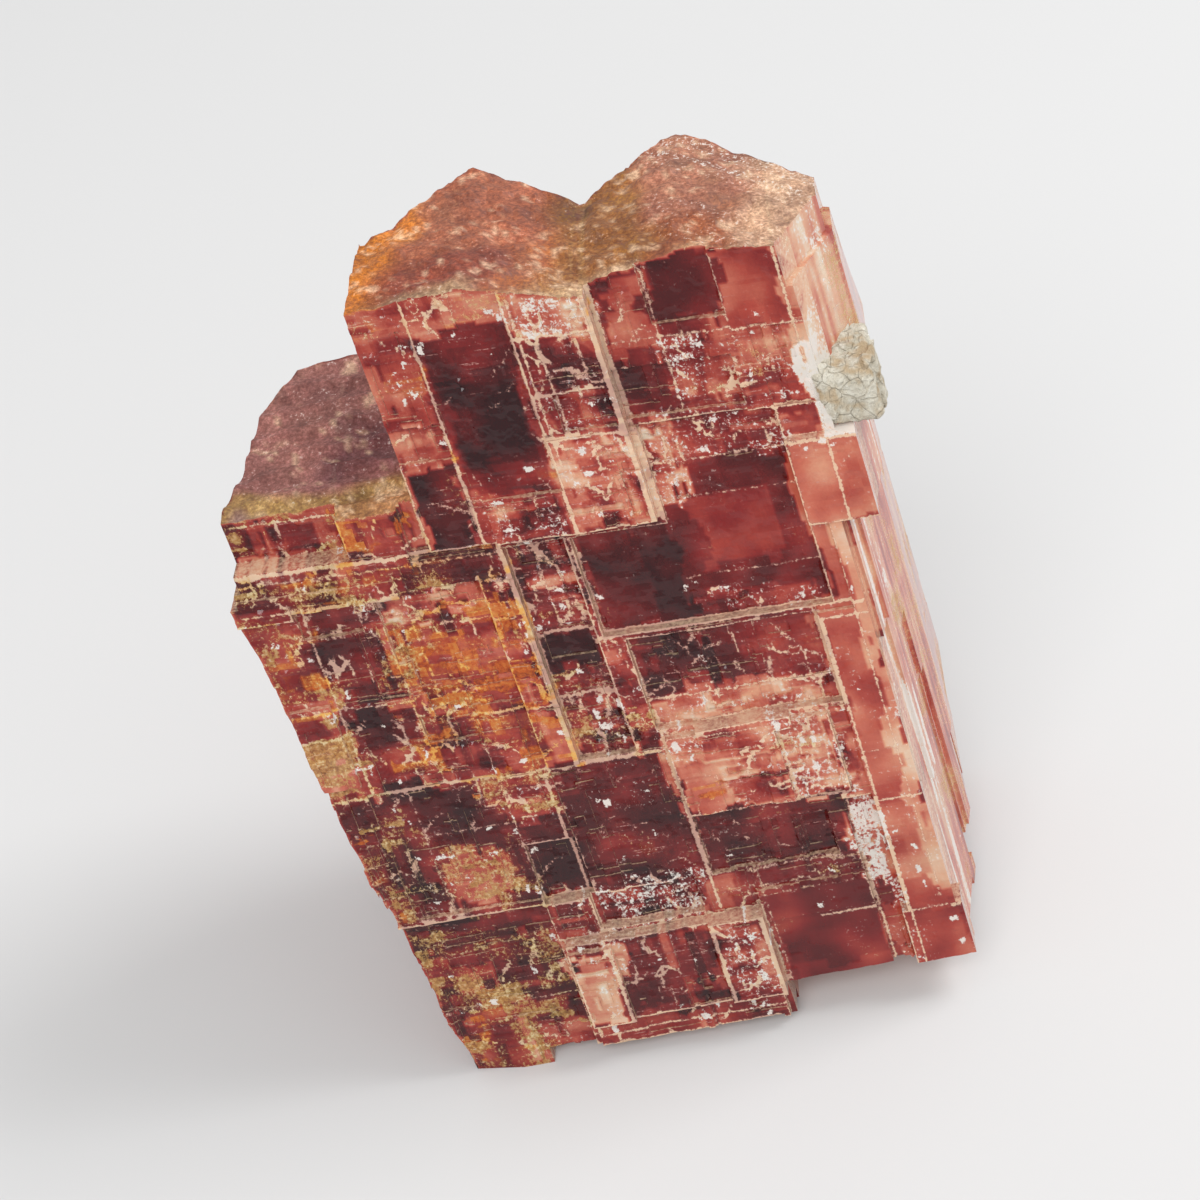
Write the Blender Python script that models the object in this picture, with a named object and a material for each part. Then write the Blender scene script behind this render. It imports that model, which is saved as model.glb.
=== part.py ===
"""Rhodochrosite cleavage block with a cream mineral crust grown on its right side: one solid.

The crystal is shaped in its own lattice space, in millimetres: across runs to the right along
the front cleavage face, back runs away from it, and rise runs up its leaning vertical edges.
Every cleavage face is square to one of these three directions there. The last step slants the
finished shape into real space, in metres, and stands it on its base with +Z up.
"""

from functools import partial
from math import cos, radians, sin, sqrt

import bmesh
import bpy
import numpy as np
from mathutils import Matrix, Vector, noise

MM = 0.001

# Driving dimensions. Rhodochrosite cleaves into rhombs whose faces have this acute corner.
FACE_CORNER = radians(77.1)
TURN = radians(11.0)
TOP_RISE = 33.0
SHELF_RISE = 23.25
RIGHT_FACE = 21.0
BODY_DEPTH = 14.25
SHEET = 0.25

# The cells of the level maps reach from LOW to HIGH (across, back, rise).
LOW = np.array([-3.0, -2.0, 0.0])
HIGH = np.array([25.0, 16.0, 35.0])

# Plates of the front: across, rise, and how far the plate's face lies back from the front plane.
FRONT_PLATES = {
    "right_field": ((14.25, 22.0), (26.75, 35.0), 0.25),
    "right_field_low": ((14.5, 19.75), (18.5, 26.75), 0.5),
    "top_right_cell": ((16.25, 19.0), (30.5, 35.0), 0.5),
    "top_right_red": ((19.0, 21.75), (29.75, 35.0), 0.25),
    "notched_cell": ((14.25, 18.75), (27.0, 29.0), 0.5),
    "pale_tab": ((18.75, 19.75), (26.75, 28.5), 0.0),
    "upper_plate": ((5.75, 14.25), (SHELF_RISE, 35.0), -0.75),
    "upper_plate_left": ((5.0, 7.75), (26.75, 35.0), -0.5),
    "upper_plate_right": ((11.25, 14.25), (SHELF_RISE, 35.0), -1.0),
    "upper_plate_window": ((12.0, 14.0), (27.25, 28.75), -0.75),
    "upper_plate_foot": ((8.25, 11.25), (SHELF_RISE, 25.0), -1.0),
    "shoulder_front": ((-2.0, 5.0), (SHELF_RISE, 26.0), 0.0),
    "shoulder_box": ((2.75, 5.0), (SHELF_RISE, 26.25), -0.25),
    "ledge_band": ((-3.0, 8.25), (21.75, SHELF_RISE), -0.25),
    "ledge_band_low": ((-3.0, 4.0), (21.25, 22.25), -0.5),
    "dark_block": ((10.75, 14.5), (18.5, 22.75), 0.75),
    "dark_cells": ((8.25, 10.5), (13.5, 22.75), 0.5),
    "dark_window": ((8.5, 10.25), (17.75, 19.0), 1.0),
    "stained_rib": ((7.0, 8.25), (13.5, 22.0), -0.25),
    "stained_field": ((3.0, 7.0), (15.25, 21.5), 0.25),
    "stained_box": ((5.0, 7.0), (13.5, 16.5), 0.0),
    "left_window": ((0.0, 2.25), (20.25, 21.5), 0.75),
    "left_frame": ((0.5, 3.5), (16.5, 18.75), 0.0),
    "left_corner_box": ((-1.5, 0.0), (14.0, 17.5), -0.25),
    "left_field": ((-3.0, 5.0), (7.75, 13.5), 0.25),
    "left_field_low": ((-3.0, 5.0), (0.0, 7.5), 0.5),
    "left_strip": ((-3.0, 0.0), (7.5, 14.0), 0.0),
    "middle_block": ((7.0, 11.5), (7.5, 13.25), 0.25),
    "middle_pocket": ((5.0, 7.0), (7.5, 10.25), 0.75),
    "mid_field": ((11.5, 19.0), (14.25, 18.25), 0.5),
    "mid_field_left": ((11.5, 13.0), (16.0, 18.25), 0.75),
    "peach_block": ((11.75, 18.25), (10.5, 14.0), -0.5),
    "peach_block_top": ((13.0, 16.75), (13.0, 14.25), -0.75),
    "peach_block_cell": ((16.0, 18.0), (10.5, 13.75), -0.25),
    "wine_field": ((11.75, 17.75), (0.0, 10.25), 0.25),
    "wine_step": ((11.75, 17.0), (7.5, 9.5), 0.5),
    "wine_step_low": ((13.25, 17.75), (5.0, 6.5), 0.0),
    "broken_band": ((17.75, 19.25), (1.0, 10.0), 0.5),
    "right_rib": ((19.0, 21.0), (1.0, 18.25), -0.25),
    "right_rib_high": ((19.75, 21.0), (18.25, 22.0), 0.0),
    "right_rib_outer": ((20.5, 21.0), (5.0, 22.0), -0.25),
    "right_corner": ((18.75, 21.25), (1.0, 4.5), -0.25),
    "salmon_block": ((19.75, 22.75), (22.0, 25.5), -0.5),
    "crackle_patch": ((6.75, 11.0), (6.0, 7.5), 0.5),
    "foot_block": ((5.25, 13.25), (2.0, 5.75), -0.75),
    "foot_block_left": ((5.25, 7.0), (2.0, 5.5), -1.0),
    "foot_block_right": ((11.0, 13.25), (2.0, 5.75), -1.0),
    "foot_lip": ((5.25, 13.0), (0.5, 2.0), -0.25),
    "foot_lip_low": ((3.0, 12.75), (0.0, 0.75), 0.75),
}

# Plates of the right side: back, rise, and how far across the plate's face lies.
RIGHT_PLATES = {
    "lower_1": ((0.75, 2.0), (0.0, 22.0), 21.25),
    "lower_2": ((2.0, 3.5), (0.0, 22.0), 21.5),
    "lower_3": ((3.5, 5.5), (0.0, 22.0), 21.75),
    "lower_4": ((5.5, 8.0), (0.0, 22.0), 22.0),
    "lower_5": ((8.0, 16.0), (0.0, 22.0), 22.25),
    "corner": ((-2.0, 0.75), (0.0, 4.5), 21.25),
    "foot": ((3.5, 16.0), (0.0, 3.0), 21.25),
    "foot_step": ((5.5, 16.0), (3.0, 6.5), 21.75),
    "salmon_block": ((-2.0, 3.0), (22.0, 25.5), 22.75),
    "salmon_back": ((3.0, 16.0), (22.0, 25.5), 22.5),
    "upper_1": ((-2.0, 0.75), (25.5, 35.0), 21.75),
    "upper_2": ((0.75, 1.75), (25.5, 35.0), 22.25),
    "upper_3": ((1.75, 2.75), (25.5, 35.0), 22.75),
    "upper_4": ((2.75, 3.75), (25.5, 35.0), 23.25),
    "upper_5": ((3.75, 16.0), (25.5, 31.25), 23.5),
    "upper_6": ((3.75, 16.0), (31.25, 35.0), 23.0),
}

# Plates of the left side: back, rise, and where across the plate's face lies.
LEFT_PLATES = {
    "upper_block": ((-2.0, 16.0), (SHELF_RISE, 35.0), 5.75),
    "upper_block_low": ((-2.0, 0.25), (SHELF_RISE, 26.75), 5.0),
    "shoulder": ((0.0, 16.0), (SHELF_RISE, 27.75), -1.5),
    "ledge_low": ((-2.0, 16.0), (22.0, 22.5), -1.75),
    "ledge_high": ((-2.0, 16.0), (22.5, SHELF_RISE), -1.5),
    "shoulder_box": ((-0.5, 0.5), (SHELF_RISE, 26.25), 2.75),
    "foot": ((-2.0, 16.0), (0.0, 7.5), -0.75),
}

# Plates of the back: across, rise, and how deep the plate's face lies.
BACK_PLATES = {
    "upper": ((-3.0, 25.0), (SHELF_RISE, 35.0), 11.25),
    "shoulder": ((-3.0, 5.75), (22.0, 35.0), 8.5),
    "middle": ((1.0, 25.0), (11.0, SHELF_RISE), 13.25),
    "slab": ((6.0, 15.0), (3.0, 17.0), 14.0),
    "slab_chip": ((8.0, 12.0), (6.0, 12.0), 14.5),
    "right_slab": ((12.0, 19.0), (15.0, 25.0), 12.75),
    "left_chip": ((-3.0, 4.0), (0.0, 9.0), 13.0),
    "right_chip": ((17.0, 25.0), (0.0, 12.0), 13.5),
}

# Plates of the base: across, back, and how high above the resting plane they lie.
BASE_PLATES = {
    "front_chip": ((3.0, 13.25), (-2.0, 1.25), 0.5),
    "right_front": ((13.25, 25.0), (-2.0, 4.5), 2.0),
    "right_middle": ((16.5, 25.0), (4.5, 8.5), 1.25),
    "right_back": ((19.0, 25.0), (8.5, 16.0), 0.5),
    "back_left_chip": ((-3.0, 2.0), (10.0, 16.0), 0.75),
}

# Small seeded terraces: how many on each side, their sides, and their heights in sheets. This
# share of them lies turned, apart from the right side's, and none starts this near a map's end.
TERRACE_TURNED = 0.4
TERRACE_MARGIN = 2.0
TERRACES = {
    "front": {"count": 70, "long": (1.0, 3.0), "wide": (0.5, 1.75), "sheets": (-1, 1), "seed": 11},
    "back": {"count": 40, "long": (1.5, 6.0), "wide": (1.0, 3.5), "sheets": (-2, 2), "seed": 12},
    "right": {"count": 14, "long": (3.0, 9.0), "wide": (0.75, 1.5), "sheets": (-1, 1), "seed": 13},
    "base": {"count": 8, "long": (1.5, 3.5), "wide": (1.0, 2.0), "sheets": (1, 3), "seed": 17},
}
# Nothing is chipped off the base here (across, back), so it stands on this flat.
BASE_REST = ((1.0, 16.5), (1.5, 13.0))

# The top's back edge as (across, back), with its two peaks. The folded growth face that runs
# down from this edge leans back to FOLD_REACH as it drops from FOLD_TOP to FOLD_FOOT, and its
# cutter starts a lip above the top.
BACK_EDGE = (
    (-4.0, 4.5), (5.2, 6.2), (5.9, 4.6), (9.9, 8.9), (14.1, 6.2), (17.9, 9.7), (22.9, 5.5), (27.0, 3.6),
)
FOLD_TOP = 33.5
FOLD_LIP = 0.6
FOLD_FOOT = 13.0
FOLD_REACH = 15.3

# The top's rise over across: a low ridge in front of each peak, and a valley between them.
ROOF = ((3.0, 32.3), (9.9, 33.1), (14.2, 32.5), (17.9, 33.2), (26.0, 32.6))
ROOF_BACK = (-4.1, 16.6)

# The sloping natural faces as four corners: near left, near right, far left, far right.
SHOULDER_TOP = ((-4.0, -3.07, 24.1), (5.68, -3.07, 24.6), (-4.0, 12.1, 26.4), (5.68, 12.1, 27.3))
LEFT_SIDE = ((-0.55, -3.0, -1.0), (2.0, 17.0, -1.0), (-3.0, -3.0, 27.9), (-0.45, 17.0, 27.9))

# The shoulder's broken left and back end: its outline as (across, back), and where its cut starts.
SHOULDER_END = (
    (-6.0, 0.6), (-1.6, 0.6), (-0.9, 3.1), (-0.4, 6.2), (0.9, 8.3), (5.65, 8.6), (5.65, 20.0), (-6.0, 20.0),
)
SHOULDER_END_RISE = (22.9, 40.0)

# Each rough face: its grid, how far its block is drawn out, how rough it is, and its seed.
ROUGH_FACES = {
    "folded_back": {"cells": (28, 12), "reach": (0.0, 9.0, 0.0), "rough": 0.12, "seed": 24},
    "roof": {"cells": (24, 16), "reach": (0.0, 0.0, 9.0), "rough": 0.13, "seed": 21},
    "shoulder_top": {"cells": (10, 14), "reach": (0.0, 0.0, 6.1), "rough": 0.16, "seed": 22},
    "left_side": {"cells": (14, 20), "reach": (-9.0, 0.0, 0.0), "rough": 0.13, "seed": 23},
}

# The cream crust on the right side: centre, half sizes, how lumpy, the lumps' scale, and the
# power that squares its round form.
CRUST = {
    "centre": (22.6, 2.1, 26.6),
    "half": (1.35, 2.2, 1.9),
    "swell": 0.22,
    "lumps": 1.7,
    "square": 0.7,
}

ROSE = (0.36, 0.09, 0.08, 1.0)
ROUGHNESS = 0.25


def lattice_matrix():
    """The matrix whose columns are the across, back and rise directions, each one unit long."""
    acute = cos(FACE_CORNER)
    across = Vector((1.0, 0.0, 0.0))
    back = Vector((acute, sin(FACE_CORNER), 0.0))
    lean = (acute + acute * acute) / sin(FACE_CORNER)
    rise = Vector((-acute, lean, sqrt(1.0 - acute**2 - lean**2)))
    return Matrix.Rotation(TURN, 3, "Z") @ Matrix((across, back, rise)).transposed()


def span(pair, axis):
    """A pair of lattice positions as a slice of cells along this axis."""
    low, high = (round((value - LOW[axis]) / SHEET) for value in pair)
    return slice(max(0, low), max(0, high))


def level_map(axes, level, plates):
    """A map of one side: its level in every cell, with the named plates laid over it in turn."""
    counts = np.round((HIGH - LOW) / SHEET).astype(int)
    levels = np.full([counts[axis] for axis in axes], float(level))
    for first, second, face in plates.values():
        levels[span(first, axes[0]), span(second, axes[1])] = face
    return levels


def add_terraces(levels, side, axes, outward, keep_clear=None):
    """Lays small plates over one side's map, each one or two cleavage sheets high."""
    rule = TERRACES[side]
    draw = np.random.default_rng(rule["seed"])
    for _ in range(rule["count"]):
        sizes = [draw.uniform(*rule["wide"]), draw.uniform(*rule["long"])]
        if side != "right" and draw.random() < TERRACE_TURNED:
            sizes.reverse()
        corner = [draw.uniform(LOW[axis] + TERRACE_MARGIN, HIGH[axis] - TERRACE_MARGIN) for axis in axes]
        sheets = draw.integers(rule["sheets"][0], rule["sheets"][1] + 1)
        ends = [(at, at + size) for at, size in zip(corner, sizes)]
        if keep_clear and all(a < d and b > c for (a, b), (c, d) in zip(ends, keep_clear)):
            continue
        first, second = (span(pair, axis) for pair, axis in zip(ends, axes))
        levels[first, second] += outward * sheets * SHEET


def crystal_cells():
    """Which cells of the lattice are crystal: those inside the level maps of the five sides."""
    front = level_map((0, 2), 0.0, FRONT_PLATES)
    back = level_map((0, 2), BODY_DEPTH, BACK_PLATES)
    right = level_map((1, 2), RIGHT_FACE, RIGHT_PLATES)
    left = level_map((1, 2), LOW[0] + SHEET, LEFT_PLATES)
    base = level_map((0, 1), 0.0, BASE_PLATES)
    add_terraces(front, "front", (0, 2), -1.0)
    add_terraces(back, "back", (0, 2), 1.0)
    add_terraces(right, "right", (1, 2), 1.0)
    add_terraces(base, "base", (0, 1), 1.0, BASE_REST)

    counts = np.round((HIGH - LOW) / SHEET).astype(int)
    across, depth, rise = np.meshgrid(
        *(LOW[axis] + SHEET * (np.arange(counts[axis]) + 0.5) for axis in range(3)),
        indexing="ij",
        sparse=True,
    )
    cells = (depth > front[:, None, :]) & (depth < back[:, None, :])
    cells &= (across < right[None]) & (across > left[None])
    cells &= (rise > base[:, :, None]) & (rise < TOP_RISE + 1.0)
    return cells


def without_edge_contacts(cells):
    """Fills cells until no two of them meet along only an edge or at only a corner."""
    cells = np.pad(cells, 1)
    while True:
        touching = np.zeros_like(cells)
        for first, second in ((0, 1), (0, 2), (1, 2)):
            near = np.roll(cells, -1, first)
            over = np.roll(cells, -1, second)
            far = np.roll(near, -1, second)
            touching |= (cells & far & ~near & ~over) | (~cells & ~far & near & over)
        octants = [
            np.roll(cells, (-i, -j, -k), (0, 1, 2)) for i in (0, 1) for j in (0, 1) for k in (0, 1)
        ]
        filled = np.sum(octants, axis=0)
        for i in range(4):
            pair = octants[i] == octants[7 - i]
            touching |= pair & octants[i] & (filled == 2)
            touching |= pair & ~octants[i] & (filled == 6)
        if not touching.any():
            return cells[1:-1, 1:-1, 1:-1]
        for i, j, k in np.argwhere(touching):
            cells[i:i + 2, j:j + 2, k:k + 2] = True


def cell_mesh(cells):
    """The closed surface round the filled cells, with its flat stretches merged."""
    padded = np.pad(cells, 1)
    mesh = bmesh.new()
    made = {}

    def vertex(corner):
        if corner not in made:
            made[corner] = mesh.verts.new(LOW + SHEET * (np.array(corner) - 1.0))
        return made[corner]

    for axis in range(3):
        one, two = (other for other in range(3) if other != axis)
        before = np.roll(padded, 1, axis)
        for outward, mask in ((1, before & ~padded), (-1, padded & ~before)):
            for index in np.argwhere(mask).tolist():
                corners = []
                for add_one, add_two in ((0, 0), (1, 0), (1, 1), (0, 1)):
                    corner = list(index)
                    corner[one] += add_one
                    corner[two] += add_two
                    corners.append(vertex(tuple(corner)))
                if (outward > 0) == (axis == 1):
                    corners.reverse()
                mesh.faces.new(corners)
    mesh.normal_update()
    bmesh.ops.dissolve_limit(
        mesh, angle_limit=radians(1.0), verts=mesh.verts[:], edges=mesh.edges[:]
    )
    return mesh


def link(name, mesh):
    """A bmesh as an object of this name in the scene."""
    data = bpy.data.meshes.new(name)
    mesh.to_mesh(data)
    mesh.free()
    made = bpy.data.objects.new(name, data)
    bpy.context.scene.collection.objects.link(made)
    return made


def joined(target, tool, operation):
    """Joins or cuts the target with the tool, in the lattice space."""
    modifier = target.modifiers.new(tool.name, "BOOLEAN")
    modifier.operation = operation
    modifier.solver = "EXACT"
    modifier.object = tool
    tool.hide_render = True
    tool.display_type = "WIRE"


def prism(name, outline, low, high):
    """A closed upright prism: an outline of (across, back) points from a low to a high rise."""
    mesh = bmesh.new()
    floor = mesh.faces.new([mesh.verts.new((across, back, low)) for across, back in outline])
    raised = bmesh.ops.extrude_face_region(mesh, geom=[floor], use_keep_orig=True)
    lifted = [item for item in raised["geom"] if isinstance(item, bmesh.types.BMVert)]
    bmesh.ops.translate(mesh, verts=lifted, vec=(0.0, 0.0, high - low))
    bmesh.ops.recalc_face_normals(mesh, faces=mesh.faces[:])
    return link(name, mesh)


def rough_block(name, surface):
    """A closed block whose one side is a rough grid over surface(s, t), drawn out by its reach."""
    rule = ROUGH_FACES[name]
    cells, rough = rule["cells"], rule["rough"]
    draw = np.random.default_rng(rule["seed"])
    push = Vector(rule["reach"]).normalized()
    mesh = bmesh.new()
    grid = [
        [
            mesh.verts.new(
                Vector(surface(i / cells[0], j / cells[1])) + push * draw.uniform(-rough, rough)
            )
            for j in range(cells[1] + 1)
        ]
        for i in range(cells[0] + 1)
    ]
    faces = [
        mesh.faces.new((grid[i][j], grid[i + 1][j], grid[i + 1][j + 1], grid[i][j + 1]))
        for i in range(cells[0])
        for j in range(cells[1])
    ]
    bmesh.ops.triangulate(mesh, faces=faces)
    drawn = bmesh.ops.extrude_face_region(mesh, geom=mesh.faces[:], use_keep_orig=True)
    moved = [item for item in drawn["geom"] if isinstance(item, bmesh.types.BMVert)]
    bmesh.ops.translate(mesh, verts=moved, vec=rule["reach"])
    bmesh.ops.recalc_face_normals(mesh, faces=mesh.faces[:])
    return link(name, mesh)


def between(corners, s, t):
    """The point at (s, t) between four corners: near left, near right, far left, far right."""
    near_left, near_right, far_left, far_right = (Vector(corner) for corner in corners)
    return near_left.lerp(near_right, s).lerp(far_left.lerp(far_right, s), t)


def roof(s, t):
    """A point of the top: s runs across, t runs back."""
    across_marks, rises = zip(*ROOF)
    across = across_marks[0] + s * (across_marks[-1] - across_marks[0])
    back = ROOF_BACK[0] + t * (ROOF_BACK[1] - ROOF_BACK[0])
    return across, back, float(np.interp(across, across_marks, rises))


def folded_back(s, t):
    """A point of the folded growth face: s runs along the top's back edge, t runs down from it."""
    place = s * (len(BACK_EDGE) - 1)
    first = min(int(place), len(BACK_EDGE) - 2)
    across, edge = Vector(BACK_EDGE[first]).lerp(BACK_EDGE[first + 1], place - first)
    drop = t * t * (3.0 - 2.0 * t)
    start = FOLD_TOP + FOLD_LIP
    return across, edge + (FOLD_REACH - edge) * drop, start + (FOLD_FOOT - start) * t


def natural_cutters():
    """The blocks that cut the growth and fracture faces, which don't follow the cleavage."""
    return [
        prism("shoulder_back", SHOULDER_END, *SHOULDER_END_RISE),
        rough_block("folded_back", folded_back),
        rough_block("roof", roof),
        rough_block("shoulder_top", partial(between, SHOULDER_TOP)),
        rough_block("left_side", partial(between, LEFT_SIDE)),
    ]


def crust_lump():
    """The cream crust: a lumpy closed cap sunk into the crystal's right side."""
    mesh = bmesh.new()
    bmesh.ops.create_icosphere(mesh, subdivisions=3, radius=1.0)
    for vert in mesh.verts:
        lump = noise.noise(vert.co * CRUST["lumps"], noise_basis="PERLIN_ORIGINAL")
        swell = 1.0 + CRUST["swell"] * lump
        squared = Vector(
            size * swell * (1.0 if value > 0.0 else -1.0) * abs(value) ** CRUST["square"]
            for value, size in zip(vert.co, CRUST["half"])
        )
        vert.co = Vector(CRUST["centre"]) + squared
    return link("crust_lump", mesh)


def finished(shape, name, matrix):
    """The shape's mesh with its cutters applied, slanted into real space, under this name."""
    bpy.context.view_layer.update()
    graph = bpy.context.evaluated_depsgraph_get()
    data = bpy.data.meshes.new_from_object(shape.evaluated_get(graph))
    data.transform(matrix.to_4x4() * MM)
    data.name = name
    return data


def main():
    for obj in list(bpy.data.objects):
        bpy.data.objects.remove(obj)
    shape = link("lattice_shape", cell_mesh(without_edge_contacts(crystal_cells())))
    for cutter in natural_cutters():
        joined(shape, cutter, "DIFFERENCE")
    joined(shape, crust_lump(), "UNION")
    data = finished(shape, "rhodochrosite_crystal", lattice_matrix())
    for obj in list(bpy.data.objects):
        bpy.data.objects.remove(obj)

    points = np.array([vert.co for vert in data.vertices])
    low, high = points.min(axis=0), points.max(axis=0)
    foot = Vector(((low[0] + high[0]) / 2, (low[1] + high[1]) / 2, low[2]))
    data.transform(Matrix.Translation(-foot))
    print("front foot corner at", [round(-value / MM, 3) for value in foot], "mm")

    material = bpy.data.materials.new("rhodochrosite")
    material.use_nodes = True
    shader = material.node_tree.nodes["Principled BSDF"]
    shader.inputs["Base Color"].default_value = ROSE
    shader.inputs["Roughness"].default_value = ROUGHNESS
    shader.inputs["Metallic"].default_value = 0.0
    material.diffuse_color = ROSE
    data.materials.append(material)
    crystal = bpy.data.objects.new("rhodochrosite_crystal", data)
    bpy.context.scene.collection.objects.link(crystal)


main()
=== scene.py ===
import math

import bmesh
import bpy
import numpy as np
from mathutils import Matrix, Vector


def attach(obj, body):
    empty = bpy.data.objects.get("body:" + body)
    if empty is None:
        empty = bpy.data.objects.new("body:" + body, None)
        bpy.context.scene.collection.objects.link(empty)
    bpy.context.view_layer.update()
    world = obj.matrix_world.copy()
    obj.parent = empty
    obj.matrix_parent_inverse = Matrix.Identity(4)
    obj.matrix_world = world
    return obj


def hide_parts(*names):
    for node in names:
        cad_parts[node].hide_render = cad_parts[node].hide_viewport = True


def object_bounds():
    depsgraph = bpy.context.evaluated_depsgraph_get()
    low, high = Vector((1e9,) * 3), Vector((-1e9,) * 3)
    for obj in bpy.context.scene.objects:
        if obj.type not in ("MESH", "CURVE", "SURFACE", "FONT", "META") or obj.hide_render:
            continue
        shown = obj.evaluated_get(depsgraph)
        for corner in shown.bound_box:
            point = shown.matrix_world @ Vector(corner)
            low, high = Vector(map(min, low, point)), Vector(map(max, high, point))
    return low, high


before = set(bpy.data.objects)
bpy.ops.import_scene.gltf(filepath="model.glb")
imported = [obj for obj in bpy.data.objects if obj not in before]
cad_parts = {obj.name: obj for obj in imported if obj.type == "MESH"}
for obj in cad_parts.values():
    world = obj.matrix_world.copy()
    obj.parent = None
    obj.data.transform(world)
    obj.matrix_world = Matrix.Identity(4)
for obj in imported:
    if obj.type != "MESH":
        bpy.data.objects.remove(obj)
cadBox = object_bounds()
scene = bpy.context.scene
mm = 0.001

# the crystal's own directions, as in the solid: acute face corner, turn on the floor, front foot
lattice = {
    "faceCorner": math.radians(77.1),
    "turn": math.radians(11.0),
    "frontFoot": (-0.006466, -0.011224, 0.0),
}


def latticeMatrix():
    acute, side = math.cos(lattice["faceCorner"]), math.sin(lattice["faceCorner"])
    lean = (acute + acute * acute) / side
    across, back = Vector((1.0, 0.0, 0.0)), Vector((acute, side, 0.0))
    rise = Vector((-acute, lean, math.sqrt(1.0 - acute**2 - lean**2)))
    return Matrix.Rotation(lattice["turn"], 3, "Z") @ Matrix((across, back, rise)).transposed()


toWorld = latticeMatrix()
toWorldRows = np.array(toWorld)
foot = np.array(lattice["frontFoot"])


def linked(data, name):
    made = bpy.data.objects.new(name, data)
    scene.collection.objects.link(made)
    return made


def setInputs(node, values):
    # links the sockets among these values to the node's inputs, and sets the rest
    for label, value in values.items():
        if isinstance(value, bpy.types.NodeSocket):
            node.id_data.links.new(value, node.inputs[label])
        else:
            node.inputs[label].default_value = value


def pointsOf(mesh):
    points = np.empty(len(mesh.vertices) * 3)
    mesh.vertices.foreach_get("co", points)
    return points.reshape(-1, 3)


def settle(mesh, points):
    # lattice places in millimetres to the frame's metres, kept inside the solid's box
    inset = 0.01 * mm
    low, high = np.array(cadBox[0]) + (inset, inset, 0.0), np.array(cadBox[1]) - inset
    places = points @ toWorldRows.T * mm + foot
    mesh.vertices.foreach_set("co", np.clip(places, low, high).ravel())
    mesh.update()


# camera, floor and light
view = {
    "fromFoot": (0.0054, -0.0653, 0.0729),
    "tiltDown": math.radians(37.0),
    "roll": math.radians(2.0),
    "lens": 72.0,
    "sensor": 36.0,
}


def makeCamera():
    data = bpy.data.cameras.new("camera")
    data.lens = view["lens"]
    data.sensor_width = view["sensor"]
    data.clip_start = mm
    camera = linked(data, "camera")
    place = Matrix.Translation(Vector(lattice["frontFoot"]) + Vector(view["fromFoot"]))
    tilt = Matrix.Rotation(math.pi / 2 - view["tiltDown"], 4, "X")
    camera.matrix_world = place @ tilt @ Matrix.Rotation(-view["roll"], 4, "Z")
    scene.camera = camera
    scene.view_settings.view_transform = "Standard"


stage = {
    "floorSize": 3.0,
    "paper": {"Base Color": (0.66, 0.66, 0.66, 1.0), "Roughness": 0.9},
    "sky": {"Color": (1.0, 1.0, 1.0, 1.0), "Strength": 0.62},
    "lamps": {
        "keyLight": {"place": (0.25, 0.14, 0.34), "size": 0.22, "power": 1.0},
        "fillLight": {"place": (-0.10, -0.30, 0.30), "size": 0.24, "power": 0.95},
    },
}


def makeStage():
    mesh = bpy.data.meshes.new("floor")
    half = stage["floorSize"] / 2
    corners = [(-half, -half, 0), (half, -half, 0), (half, half, 0), (-half, half, 0)]
    mesh.from_pydata(corners, [], [(0, 1, 2, 3)])
    paper = bpy.data.materials.new("palePaper")
    paper.use_nodes = True
    setInputs(paper.node_tree.nodes["Principled BSDF"], stage["paper"])
    mesh.materials.append(paper)
    floor = linked(mesh, "floor")

    world = bpy.data.worlds.new("softRoom")
    world.use_nodes = True
    setInputs(world.node_tree.nodes["Background"], stage["sky"])
    scene.world = world
    for name, lamp in stage["lamps"].items():
        data = bpy.data.lights.new(name, "AREA")
        data.size = lamp["size"]
        data.energy = lamp["power"]
        light = linked(data, name)
        light.location = lamp["place"]
        light.rotation_euler = (-Vector(lamp["place"])).to_track_quat("-Z", "Y").to_euler()


def noiseField(points, size, seed, octaves=3, gain=0.5):
    # value noise of about -1 to 1 over points (n, 3), with features of this size
    total, weight, amount = np.zeros(len(points)), 0.0, 1.0
    draw = np.random.default_rng(seed)
    for _ in range(octaves):
        table = draw.uniform(-1.0, 1.0, 4096)
        shifts = draw.uniform(0.0, 50.0, 3)
        at = points / size + shifts
        cell = np.floor(at).astype(np.int64)
        part = at - cell
        part = part * part * (3.0 - 2.0 * part)
        value = np.zeros(len(points))
        for corner in range(8):
            steps = np.array([corner & 1, corner >> 1 & 1, corner >> 2 & 1])
            key = (cell + steps) @ np.array([73856093, 19349663, 83492791])
            share = np.prod(np.where(steps, part, 1.0 - part), axis=1)
            value += share * table[(key ^ key >> 13) & 4095]
        total += amount * value
        weight += amount
        amount *= gain
        size = size / 2.0
    return total / weight * 1.6


def roughened(start, points, noises):
    # adds noises, each given as its height, size, seed, octaves and gain
    for height, *rule in noises:
        start = start + height * noiseField(points, *rule)
    return start


# the crystal's form
grid = {
    "low": (-3, -1.5, 0),
    "high": (25, 16, 34.5),
    "cell": 0.125,
    "frontCell": 0.0625,
    "frontEnd": 1.25,
    "deepCell": 0.25,
}
shelfRise = 23.25

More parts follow.
